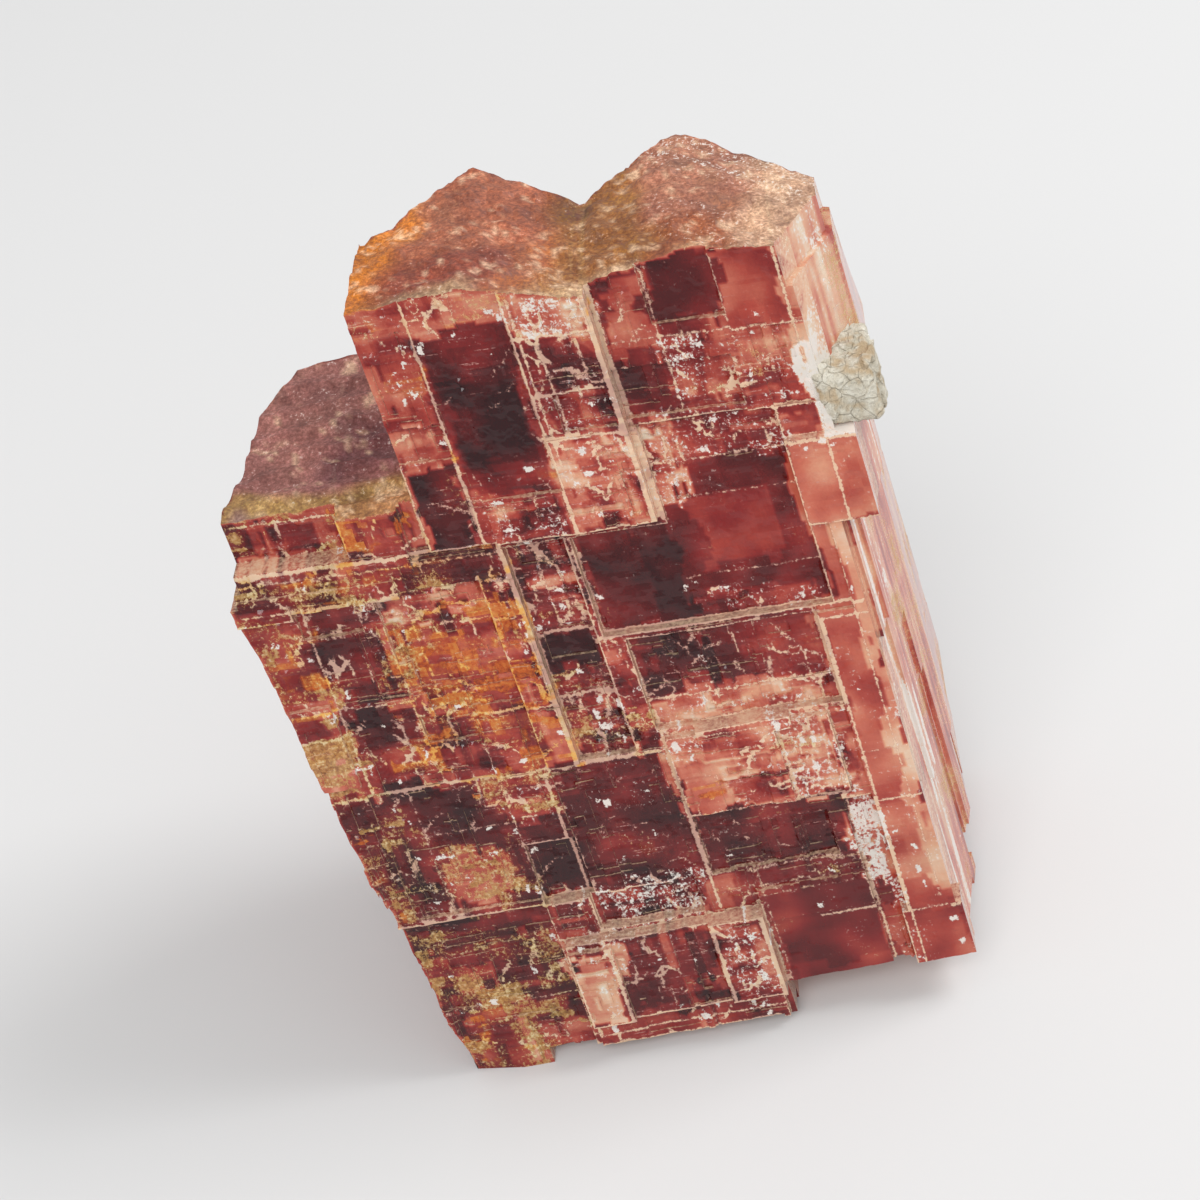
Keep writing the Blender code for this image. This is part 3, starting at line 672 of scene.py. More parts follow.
# pale cleavage traces on the front, by the direction they run: their place, two ends and strength
traces = {
    "rise": [
        (8.125, 13.2, 23.2, 1), (10.5, 13.4, 22.8, 0.9), (10.75, 18, 22.8, 0.7), (6.75, 5.5, 13.2, 0.9),
        (11.625, 6, 15, 0.9), (18.875, 13.8, 18.4, 0.8), (19.75, 18.4, 26.8, 0.8),
        (7.75, 23.3, 32.8, 0.95), (11.25, 23.3, 32.8, 1), (11.5, 26, 32.6, 0.7), (12.125, 27, 32.6, 0.7),
        (14.125, 23.3, 32.8, 1), (14.375, 23, 32.5, 0.8), (5.625, 23.3, 32.6, 0.8),
        (16.375, 27, 32.6, 0.6), (18.25, 10.5, 15.4, 0.8), (16.125, 10.5, 14, 0.8),
        (17.875, 0.6, 10.4, 0.7), (19.125, 1, 18, 0.75), (20.5, 5, 22, 0.6), (5.25, 2, 5.6, 1),
        (6.875, 2, 5.6, 0.9), (11.125, 2, 5.8, 0.9), (13.125, 2, 6, 0.9), (5, 7.6, 15, 0.6),
        (3, 13.5, 22, 0.7), (0.25, 13.4, 21.6, 0.7), (7, 13.5, 21.9, 0.8), (4, 15, 21.6, 0.6),
        (21.375, 22, 33.2, 0.8), (19, 29.6, 32.8, 0.6), (2.75, 23.3, 26.2, 0.8), (5, 0.4, 7.4, 0.6),
        (13.5, 0.2, 7.5, 0.5), (1.5, 7.6, 13.4, 0.5), (9.25, 19, 22.6, 0.6),
    ],
    "across": [
        (18.5, 10.6, 21, 1), (18.75, 8.2, 10.5, 0.9), (16.125, 5, 10.4, 0.8), (13.375, -1.5, 11.4, 0.85),
        (7.5, -1, 10.6, 0.95), (6.25, 12.9, 17.2, 0.5), (6.625, 13, 16.8, 0.45),
        (7.375, 13.2, 17.8, 0.55), (4.75, 15.4, 17.9, 0.7), (2, 5, 13.2, 0.95), (1.25, 5, 13, 0.7),
        (5.75, 5, 13.3, 0.8), (26.75, 14.6, 21.2, 0.8), (23.125, -1.5, 14.4, 1), (22.75, -1.8, 8.2, 0.6),
        (21.625, -1.8, 8.6, 0.65), (22.25, -1, 6, 0.45), (31, 11.2, 14.1, 0.8), (28.75, 11.3, 14, 0.9),
        (27, 11.2, 14.2, 0.9), (25, 14.5, 19.8, 0.6), (23.5, 14.5, 19.8, 0.5), (20.25, 14.5, 19.7, 0.5),
        (10.375, 11.6, 18.2, 0.85), (15.375, 11.6, 18.9, 0.7), (14, 13, 18, 0.6), (10.125, 4.8, 7, 0.6),
        (20, 4.9, 7.8, 0.7), (20.75, 5.4, 8, 0.7), (22, 19.8, 22.6, 0.7), (25.375, 19.8, 24, 0.8),
        (30, 14.5, 18.9, 0.55), (29.875, 19, 24.2, 0.7), (24.625, -1.4, 2.7, 0.7),
        (17.25, -1.5, 3.2, 0.6), (16.125, -1.5, 0.3, 0.8), (11.25, -1, 5, 0.5), (3.125, -0.6, 4.9, 0.5),
        (4.5, 19, 21.4, 0.6), (9.75, 18.9, 21.2, 0.7), (12, 19.1, 21.2, 0.5), (18, 19.1, 21.2, 0.7),
    ],
}
plainFinish = (0.34, 0.5, 0.12, 0.12, 0.05)

# fine detail drawn over the regions, more of it where they are cloudy: flat cells that change the
# tint and tilt, curved cracks, and white flecks, which are painted glints; then where no sheet lies,
# how the regions' edges wander, how sheets and broad drifts tint them, and how the traces of steps and
# lines break up
detail = {
    "cells": {"count": 2600, "wide": (0.3, 1.7), "stretch": 1.5, "tall": (0.2, 0.8), "tint": 0.18,
              "cloudy": (0.3, 1.5), "slope": 0.24, "highest": 0.045, "patchy": 0.85},
    "cracks": {"count": 2000, "long": (0.4, 2.4), "halfTurns": (0.0, 0.5, 0.5, 0.28, -0.28, 1.0),
               "turned": 0.15, "bend": 1.1, "waver": 0.10, "strength": (0.35, 0.85), "faded": 0.15,
               "rarer": 1.3, "cloudy": (1.6, 0.2, 1.0)},
    "flecks": {"count": 3400, "long": 4, "strength": (0.35, 1.0), "cloudShare": 0.25,
               "whiteShare": 0.6},
    "calmBelow": 0.38,
    "wander": {"block": (0.7, 0.35, 1.0), "noise": (0.9, 61, 1), "across": 0.3, "rise": 0.25,
               "shifted": 0.6},
    "sheetTint": {"often": 5.0, "tint": 0.035, "clearBelow": 0.45, "clearShare": 0.25},
    "tintDrift": [(0.07, 2.4, 63, 2)],
    "steps": {"from": 0.05, "rate": 2.2, "strength": (0.3, 0.85), "breaks": 0.25},
    "lineBreaks": 0.2,
}


def drawCells(draw, across, rise, amounts, relief):
    rule = detail["cells"]
    least, rate = rule["cloudy"]
    for _ in range(rule["count"]):
        one, two = draw.uniform(across[0], across[-1]), draw.uniform(rise[0], rise[-1])
        wide, tall = draw.uniform(*rule["wide"]) ** rule["stretch"], draw.uniform(*rule["tall"])
        tint, slopeOne, slopeTwo = draw.uniform(-1.0, 1.0, 3)
        patch = patchBetween(across, rise, (one, one + wide), (two, two + tall))
        if amounts[patch].size == 0:
            continue
        cloud = min(float(amounts[patch][..., 1].mean()), 1.0)
        amounts[patch][..., 0] += tint * rule["tint"] * max(cloud - least, 0.0) * rate
        amounts[patch][..., 2:4] *= 1.0 + rule["patchy"] * draw.uniform(-1.0, 1.0, 2)
        offOne = across[patch[0]][:, None] - one - wide / 2
        offTwo = rise[patch[1]][None, :] - two - tall / 2
        tilt = (slopeOne * offOne + slopeTwo * offTwo) * rule["slope"] * cloud**2
        relief[patch] = np.clip(tilt, -rule["highest"], rule["highest"])


def drawCracks(draw, across, rise, amounts, trace):
    rule = detail["cracks"]
    rate, *limits = rule["cloudy"]
    ends, spacing = rule["faded"], grid["cell"] / 2
    for _ in range(rule["count"]):
        one, two = draw.uniform(across[0], across[-1]), draw.uniform(rise[0], rise[-1])
        chance = draw.random()
        count = int(draw.uniform(*rule["long"]) / spacing)
        turnRate = draw.normal(0.0, rule["bend"])
        start = draw.choice(rule["halfTurns"]) * math.pi + draw.normal(0.0, rule["turned"])
        strength = draw.uniform(*rule["strength"])
        heading = start + turnRate * spacing * np.arange(count)
        heading = heading + np.cumsum(draw.normal(0.0, rule["waver"], count))
        i = ((one - across[0] + np.cumsum(np.cos(heading)) * spacing) / grid["cell"]).astype(int)
        j = ((two - rise[0] + np.cumsum(np.sin(heading)) * spacing) / grid["cell"]).astype(int)
        fade = np.sin(np.linspace(ends, math.pi - ends, count)) * strength
        inside = (i >= 0) & (i < len(across)) & (j >= 0) & (j < len(rise))
        i, j, fade = i[inside], j[inside], fade[inside]
        if len(i) and chance < amounts[i[0], j[0], 1] ** rule["rarer"]:
            np.maximum.at(trace, (i, j), fade * np.clip(amounts[i, j, 1] * rate, *limits))


def drawGlintFlecks(draw, across, rise, amounts):
    # white flecks set into the white amount: painted glints, more of them where the front is cloudy or
    # broken white
    rule = detail["flecks"]
    for _ in range(rule["count"]):
        i, j = draw.integers(len(across)), draw.integers(len(rise))
        chance, strength = draw.random(), draw.uniform(*rule["strength"])
        longOne, longTwo = draw.integers(1, 3), draw.integers(1, rule["long"])
        if draw.random() < 0.5:
            longOne, longTwo = longTwo, longOne
        cloud, white = amounts[i, j, 1], amounts[i, j, 4]
        if chance < rule["cloudShare"] * cloud**2 + rule["whiteShare"] * white:
            patch = amounts[i:i + longOne, j:j + longTwo, 4]
            np.maximum(patch, strength, out=patch)


def calmPlaces(across, rise):
    # where the front's cells are smooth, so that no thin sheet lies on them
    calm = np.zeros((len(across) - 1, len(rise) - 1), bool)
    for spanOne, spanTwo, finish in frontFinish.values():
        calm[patchBetween(across, rise, spanOne, spanTwo)] = finish[1] < detail["calmBelow"]
    return calm


def frontMaps(across, rise, levels, shifts):
    # finish amounts, trace strength and fine relief at the grid's marks
    one, two = np.meshgrid(across, rise, indexing="ij")
    moved = np.zeros(one.shape + (2,))
    moved[:-1, :-1] = shifts
    flat = np.stack([one.ravel(), two.ravel(), np.zeros(one.size)], axis=1)
    rule = detail["wander"]
    blocks = np.round(flat / rule["block"]) * rule["block"]
    wander = noiseField(blocks, *rule["noise"]).reshape(one.shape)
    lookOne = one + moved[..., 0] * rule["shifted"] + wander * rule["across"]
    lookTwo = two + moved[..., 1] * rule["shifted"] + wander * rule["rise"]
    amounts = np.full(one.shape + (len(finishNames),), plainFinish)
    for spanOne, spanTwo, finish in frontFinish.values():
        inside = (lookOne >= spanOne[0]) & (lookOne < spanOne[1])
        inside &= (lookTwo >= spanTwo[0]) & (lookTwo < spanTwo[1])
        amounts[inside] = finish
    draw, rule = np.random.default_rng(62), detail["sheetTint"]
    tint = np.round(moved.sum(axis=-1) * rule["often"]) * rule["tint"]
    cloudy = amounts[..., 1] > rule["clearBelow"]
    amounts[..., 0] += np.where(cloudy, tint, tint * rule["clearShare"])
    amounts[..., 0] += roughened(0.0, flat, detail["tintDrift"]).reshape(one.shape)

    # traces follow the small steps first, then the long cleavage lines
    trace, relief, rule = np.zeros(one.shape), np.zeros(one.shape), detail["steps"]
    for axis, edge in enumerate((trace[1:-1, :-1], trace[:-1, 1:-1])):
        jump = np.abs(np.diff(levels, axis=axis))
        strong = np.clip(jump * rule["rate"], *rule["strength"])
        strong -= draw.random(jump.shape) * rule["breaks"]
        np.maximum(edge, np.where(jump > rule["from"], strong, 0.0), out=edge)
    for first, second, seen, rows in ((across, rise, trace, traces["rise"]),
                                      (rise, across, trace.T, traces["across"])):
        for place, start, end, strength in rows:
            line = seen[int(np.argmin(np.abs(first - place))), cellsBetween(second, (start, end))]
            broken = strength - draw.random(line.shape) * detail["lineBreaks"]
            np.maximum(line, broken, out=line)
    drawCells(draw, across, rise, amounts, relief)
    drawCracks(draw, across, rise, amounts, trace)
    drawGlintFlecks(draw, across, rise, amounts)
    return amounts, trace, relief


def sampled(maps, across, rise, points):
    # a map's value between its marks
    one = np.clip((points[:, 0] - across[0]) / grid["cell"], 0, len(across) - 1.001)
    two = np.clip((points[:, 2] - rise[0]) / grid["cell"], 0, len(rise) - 1.001)
    i, j = one.astype(int), two.astype(int)
    s, t = one - i, two - j
    if maps.ndim == 3:
        s, t = s[:, None], t[:, None]
    low = maps[i, j] * (1 - s) + maps[i + 1, j] * s
    high = maps[i, j + 1] * (1 - s) + maps[i + 1, j + 1] * s
    return low * (1 - t) + high * t


def band(value, low, high, soft):
    # 1 inside a span, falling to 0 past its ends
    return np.clip((value - low) / soft + 0.5, 0, 1) * np.clip((high - value) / soft + 0.5, 0, 1)


def mixInto(amounts, share, finish):
    amounts += share[:, None] * (np.array(finish) - amounts)


# colours of the natural faces: the face, spans over across, back and rise (None for all of it), how
# soft the ends are, and the colour there
skinColours = [
    ("roof", None, None, None, 1, (0.72, 0.21, 0.055)),
    ("roof", (3, 7.6), None, None, 0.9, (1.25, 0.40, 0.020)),
    ("roof", (7.8, 12.4), (2.6, 9.5), None, 0.8, (0.85, 0.26, 0.11)),
    ("roof", (7.6, 11.6), (0, 2.6), None, 0.9, (0.52, 0.11, 0.045)),
    ("roof", (13, 17), None, None, 1, (0.54, 0.23, 0.03)),
    ("roof", (16.8, 21.5), (3, 12), None, 1, (0.78, 0.32, 0.18)),
    ("roof", (20.6, 26), None, None, 1.2, (1.25, 0.82, 0.50)),
    ("roof", None, (-2, 0.25), None, 0.6, (0.95, 0.66, 0.36)),
    ("shoulder", None, None, None, 1, (0.78, 0.36, 0.31)),
    # a painted shade: the shoulder's top darkened where the upper block's wall shades it
    ("shoulder", (2.4, 5.4), (1.8, 5), None, 0.8, (0.30, 0.15, 0.17)),
    ("shoulder", None, (-2, 1.3), None, 0.4, (0.88, 0.58, 0.19)),
    ("shoulder", (-4, 1.6), (-2, 0.3), None, 0.3, (0.62, 0.43, 0.38)),
    ("shoulder", (2.6, 6), (-2, 0.5), None, 0.3, (1.00, 0.52, 0.20)),
    ("leftSide", None, None, None, 1, (0.40, 0.12, 0.08)),
    ("leftSide", None, None, (20.5, 24), 1, (0.60, 0.33, 0.14)),
    ("fold", None, None, None, 1, (0.58, 0.20, 0.14)),
    ("fold", None, None, (26, 35), 3, (0.60, 0.30, 0.15)),
    ("shoulderEnd", None, None, None, 1, (0.56, 0.19, 0.15)),
]
# their five finish amounts: the face, its bands and the amounts there, where a band is the
# direction it lies over, how far it drifts, its two ends and how soft they are
skinFinish = [
    ("roof", [(0, 0, 3, 7.5, 1.5)], (0.60, 0.3, 0.9, 0.30, 0)),
    ("roof", [(0, 1, 7.8, 12, 1.2), (1, 0, 2.4, 9, 1)], (0.58, 0.25, 0.05, 0.05, 0)),
    ("roof", [(0, 1, 16.8, 26, 1.5)], (0.60, 0.4, 0.1, 0.35, 0.25)),
    ("shoulder", [], (0.50, 0.35, 0.02, 0.05, 0.10)),
    ("shoulder", [(1, 0.4, -2, 1.1, 0.4)], (0.60, 0.4, 0.15, 0.9, 0.1)),
    ("fold", [], (0.42, 0.4, 0.12, 0.25, 0.1)),
]
# how the colours break up: the red that shows through on each face and its share of pale flecks,
# how strong the blotches and specks are, the pale flecks and dark pits (where they start, how strong
# they are and their colour), what the rest of the skin has, and the noises that vary all this
skinBreaks = {
    "red": {"roof": (0.15, 0.8), "shoulder": (0.20, 0.9), "leftSide": (0.75, 0.15),
            "fold": (0.80, 0.12), "shoulderEnd": (0.75, 0.15), "cut": (0.85, 0)},
    "shade": 0.63, "blotch": 0.45, "speck": 0.28,
    "pale": (0.45, 0.75, (0.98, 0.74, 0.48)), "dark": (0.95, 0.60, (0.16, 0.045, 0.030)),
    "plain": (0.45, 0.17, 0.10), "plainFinish": (0.50, 0.4, 0.2, 0.45, 0.05),
    "block": (0.9, 0.9, 0.45), "streak": (1.0, 1.0, 0.25), "squeeze": (1.6, 1.0, 1.0),
    "depth": 0.42, "blockNoise": [(0.22, 2.6, 74, 2)], "streakNoise": [(0.14, 0.8, 75, 2)],
    "drift": (1.1, 3.0, 71, 3), "bend": (0.5, 1.2, 76, 2),
}


def weatheredSkin(kinds, points):
    # the natural faces' colour, and their five finish amounts, by which face a point lies on
    colours = np.full(points.shape, skinBreaks["plain"])
    drift = roughened(0.0, points, [skinBreaks["drift"]])
    for face, *spans, soft, colour in skinColours:
        share = (kinds == face).astype(float)
        for value, span in zip(points.T, spans):
            if span is not None:
                share *= band(value + drift, *span, soft)
        mixInto(colours, share, colour)
    blocks = np.round(points / skinBreaks["block"]) * skinBreaks["block"]
    depth = roughened(skinBreaks["depth"], blocks, skinBreaks["blockNoise"])
    depth = roughened(depth, points * skinBreaks["streak"], skinBreaks["streakNoise"])
    depths, reds = zip(*crystalColours["body"])
    red = np.stack([np.interp(depth, depths, channel) for channel in zip(*reds)], axis=1)
    through, flecked = np.array([skinBreaks["red"][kind] for kind in kinds]).T
    colours += through[:, None] * (red - colours)
    bent = points + roughened(0.0, points, [skinBreaks["bend"]])[:, None]
    blotch = noiseField(bent, 1.6, 72, 3, 0.7)
    speck = noiseField(bent * skinBreaks["squeeze"], 0.5, 73, 2, 0.7)
    broken = np.exp(skinBreaks["blotch"] * blotch + skinBreaks["speck"] * speck)
    colours *= skinBreaks["shade"] * broken[:, None]
    least, share, pale = skinBreaks["pale"]
    mixInto(colours, share * flecked * np.clip((speck + 0.5 * blotch - least) * 3.0, 0.0, 1.0), pale)
    least, share, dark = skinBreaks["dark"]
    mixInto(colours, share * np.clip((-speck - 0.6 * blotch - least) * 3.0, 0.0, 1.0), dark)
    amounts = np.full((len(points), len(finishNames)), skinBreaks["plainFinish"])
    for face, bands, finish in skinFinish:
        share = (kinds == face).astype(float)
        for axis, wander, low, high, soft in bands:
            share *= band(points[:, axis] + wander * drift, low, high, soft)
        mixInto(amounts, share, finish)
    return colours, amounts


# node helpers; most find their tree from the sockets that they are given
def addNode(tree, kind, values=None, **settings):
    made = tree.nodes.new("ShaderNode" + kind)
    for name, value in settings.items():
        setattr(made, name, value)
    setInputs(made, values or {})
    return made


def treeOf(*values):
    return next(value.id_data for value in values if isinstance(value, bpy.types.NodeSocket))


def calc(operation, *values, clamp=False):
    sums = dict(enumerate(values))
    return addNode(treeOf(*values), "Math", sums, operation=operation, use_clamp=clamp).outputs[0]


def times(one, two, clamp=False):
    return calc("MULTIPLY", one, two, clamp=clamp)


def timesPlus(one, two, three):
    return calc("MULTIPLY_ADD", one, two, three)


def ramped(value, low, high, kind="SMOOTHSTEP"):
    # 0 at low to 1 at high
    values = {"Value": value, "From Min": low, "From Max": high}
    return addNode(treeOf(value), "MapRange", values, interpolation_type=kind).outputs["Result"]


def blended(share, one, two):
    return addNode(treeOf(share), "Mix", {0: share, 2: one, 3: two}).outputs[0]


def mixed(share, one, two, blend="MIX"):
    values = {0: share, 6: one, 7: two}
    return addNode(treeOf(share, one), "Mix", values, data_type="RGBA", blend_type=blend).outputs[2]


def ramp(value, stops):
    node = addNode(treeOf(value), "ValToRGB", {0: value})
    places = node.color_ramp.elements
    while len(places) < len(stops):
        places.new(0.5)
    for place, (at, colour) in zip(places, stops):
        place.position = at
        place.color = (*colour, 1.0)
    return node.outputs["Color"]


def scaled(place, scale, shift=(0.0, 0.0, 0.0)):
    values = {0: place, 1: scale, 2: shift}
    return addNode(treeOf(place), "VectorMath", values, operation="MULTIPLY_ADD").outputs[0]


def clouds(place, scale, detail, rough=0.55):
    values = {"Vector": place, "Scale": scale, "Detail": detail, "Roughness": rough}
    return addNode(treeOf(place), "TexNoise", values).outputs["Fac"]


def split(place):
    return addNode(treeOf(place), "SeparateXYZ", {0: place}).outputs


def attribute(tree, name):
    return addNode(tree, "Attribute", attribute_name=name).outputs["Fac"]


def groupNode(tree, group, values):
    return addNode(tree, "Group", values, node_tree=group).outputs


def newGroup(name, inputs, outputs):
    # a shader group with its named sockets, each given as its kind and, for a number, its value
    tree = bpy.data.node_groups.new(name, "ShaderNodeTree")
    for label, kind, *value in inputs:
        socket = tree.interface.new_socket(name=label, in_out="INPUT", socket_type="NodeSocket" + kind)
        if value:
            socket.default_value = value[0]
    for label, kind in outputs:
        tree.interface.new_socket(name=label, in_out="OUTPUT", socket_type="NodeSocket" + kind)
    return tree, tree.nodes.new("NodeGroupInput").outputs, tree.nodes.new("NodeGroupOutput")


# patterns that the finishes share, all in lattice millimetres
wrap = 1.31  # patterns run on round the sides: along them, a place is across plus this much of back


def latticePlaceGroup():
    # object coordinates to lattice millimetres
    tree, given, out = newGroup("latticePlace", [("Object", "Vector")], [("Place", "Vector")])
    values = {0: given["Object"], 1: lattice["frontFoot"]}
    shifted = addNode(tree, "VectorMath", values, operation="SUBTRACT").outputs[0]
    along = [addNode(tree, "VectorMath", {0: shifted, 1: row}, operation="DOT_PRODUCT").outputs["Value"]
             for row in toWorld.inverted() * (1.0 / mm)]
    setInputs(out, {"Place": addNode(tree, "CombineXYZ", dict(enumerate(along))).outputs[0]})
    return tree


def chanceOfCell(row, column, hop, seed):
    # a random value for each cell of rows whose columns are moved by chance, and the place along it
    tree, rowCell = row.id_data, calc("FLOOR", row)
    jump = addNode(tree, "TexWhiteNoise", {"W": calc("ADD", rowCell, seed)}, noise_dimensions="1D")
    column = timesPlus(jump.outputs["Value"], hop, column)
    columnCell = calc("FLOOR", column)
    join = addNode(tree, "CombineXYZ", {0: columnCell, 1: rowCell, 2: seed}).outputs[0]
    chance = addNode(tree, "TexWhiteNoise", {"Vector": join}).outputs["Value"]
    return chance, calc("SUBTRACT", column, columnCell)


def cleavageGroup():
    # flat cells between unevenly spaced cleavages, with a random value for each
    tree, given, out = newGroup(
        "cleavageCells",
        [("Place", "Vector"), ("Wide", "Float", 1.2), ("Tall", "Float", 0.7), ("Seed", "Float", 0.0)],
        [("Cell", "Float")])
    across, back, rise = split(given["Place"])
    flat = calc("ADD", across, times(back, wrap))

    def wandering(value, size, add):
        marks = calc("DIVIDE", value, size)
        values = {"W": calc("ADD", marks, add), "Scale": 0.6, "Detail": 1.0}
        noise = addNode(tree, "TexNoise", values, noise_dimensions="1D").outputs["Fac"]
        return timesPlus(noise, 3.0, marks)

    row = wandering(rise, given["Tall"], given["Seed"])
    column = wandering(flat, given["Wide"], calc("ADD", given["Seed"], 7.3))
    chance, _ = chanceOfCell(row, column, 1.7, given["Seed"])
    setInputs(out, {"Cell": chance})
    return tree


def fractureGroup():
    # fine grain, and the broad patches that breakage keeps to
    tree, given, out = newGroup(
        "fractures", [("Place", "Vector")], [("Grain", "Float"), ("Patches", "Float")])
    grain = clouds(given["Place"], 6.5, 2.0, 0.75)
    patches = clouds(scaled(given["Place"], (0.5, 0.5, 0.5), (3.0, 1.0, 8.0)), 1.0, 1.0)
    setInputs(out, {"Grain": ramped(grain, 0.33, 0.67, "LINEAR"),
                    "Patches": ramped(patches, 0.32, 0.70, "LINEAR")})
    return tree


def strokeGroup():
    # short straight scratches: a chance share of long thin cells, fading at their edges
    tree, given, out = newGroup(
        "strokes",
        [("Place", "Vector"), ("Long", "Float", 0.9), ("Thin", "Float", 0.05), ("Share", "Float", 0.2),
         ("Seed", "Float", 0.0)],
        [("Strokes", "Float")])
    across, back, rise = split(given["Place"])
    row = calc("DIVIDE", rise, given["Thin"])
    column = calc("DIVIDE", timesPlus(back, wrap, across), given["Long"])
    chance, along = chanceOfCell(row, column, 9.0, given["Seed"])
    lowest = calc("SUBTRACT", 1.0, given["Share"])
    chosen = ramped(chance, lowest, calc("ADD", lowest, 0.06))
    middle, ends = (times(calc("PINGPONG", way, 0.5), 4.0, clamp=True) for way in (row, along))
    setInputs(out, {"Strokes": times(chosen, times(middle, ends))})
    return tree


# the crystal's finish
crystalLook = {
    "glass": {"IOR": 1.58, "Specular IOR Level": 0.28, "Transmission Weight": 0.34},
    "volume": {"Color": (0.94, 0.38, 0.36, 1.0), "Density": 55.0},
    "roughness": 0.08,
    "cells": {"Wide": 0.8, "Tall": 0.35, "Seed": 11.0},
    "scratches": {"Long": 0.9, "Thin": 0.05, "Seed": 5.0},
    "scratchShare": 0.20,
}
crystalColours = {
    "body": [(0, (0.030, 0.002, 0.004)), (0.15, (0.108, 0.006, 0.008)), (0.30, (0.265, 0.017, 0.018)),
             (0.45, (0.475, 0.062, 0.043)), (0.60, (0.700, 0.190, 0.120)),
             (0.78, (0.900, 0.480, 0.295)), (1, (0.970, 0.820, 0.620))],
    "iron": [(0, (0.26, 0.022, 0.003)), (0.35, (0.70, 0.140, 0.006)), (1, (1.00, 0.54, 0.10))],
    "ochre": [(0, (0.24, 0.10, 0.03)), (0.5, (0.64, 0.37, 0.10)), (1, (0.92, 0.75, 0.42))],
    "grit": [(0, (0.55, 0.50, 0.48)), (0.5, (0.95, 0.93, 0.92)), (1, (1.5, 1.55, 1.6))],
    "trace": (1.0, 0.74, 0.50, 1.0),
    "crack": (0.64, 0.33, 0.29, 1.0),
    "white": (1.0, 0.94, 0.86, 1.0),
}


def sideAmounts(place, drift):
    # the sides that carry no painted finish: salmon streaked along the rise, wine behind
    across, back, rise = split(place)
    streaks = ramped(clouds(scaled(place, (1.6, 1.6, 0.12)), 1.0, 1.0, 0.6), 0.33, 0.67, "LINEAR")
    outer = ramped(timesPlus(drift, 1.6, back), 3.0, 5.5)
    tint = timesPlus(streaks, 0.34, timesPlus(outer, -0.16, 0.58))
    cloud = timesPlus(drift, 0.5, 0.2)
    stain = timesPlus(outer, 0.25, 0.03)
    ochre = timesPlus(outer, 0.48, 0.03)
    rightward = calc("SUBTRACT", ramped(across, 15.0, 19.0), times(ramped(rise, 25.0, 28.0), 0.55))
    pale = times(timesPlus(outer, -0.9, 1.0), rightward)
    return tint, cloud, stain, ochre, times(ramped(streaks, 0.25, 0.80), pale)


def newFinish(name):
    # a material with its tree, its shader and the lattice place of each point
    material = bpy.data.materials.new(name)
    material.use_nodes = True
    tree = material.node_tree
    where = addNode(tree, "TexCoord").outputs["Object"]
    group = bpy.data.node_groups.get("latticePlace") or latticePlaceGroup()
    place = groupNode(tree, group, {"Object": where})["Place"]
    return material, tree, tree.nodes["Principled BSDF"], place


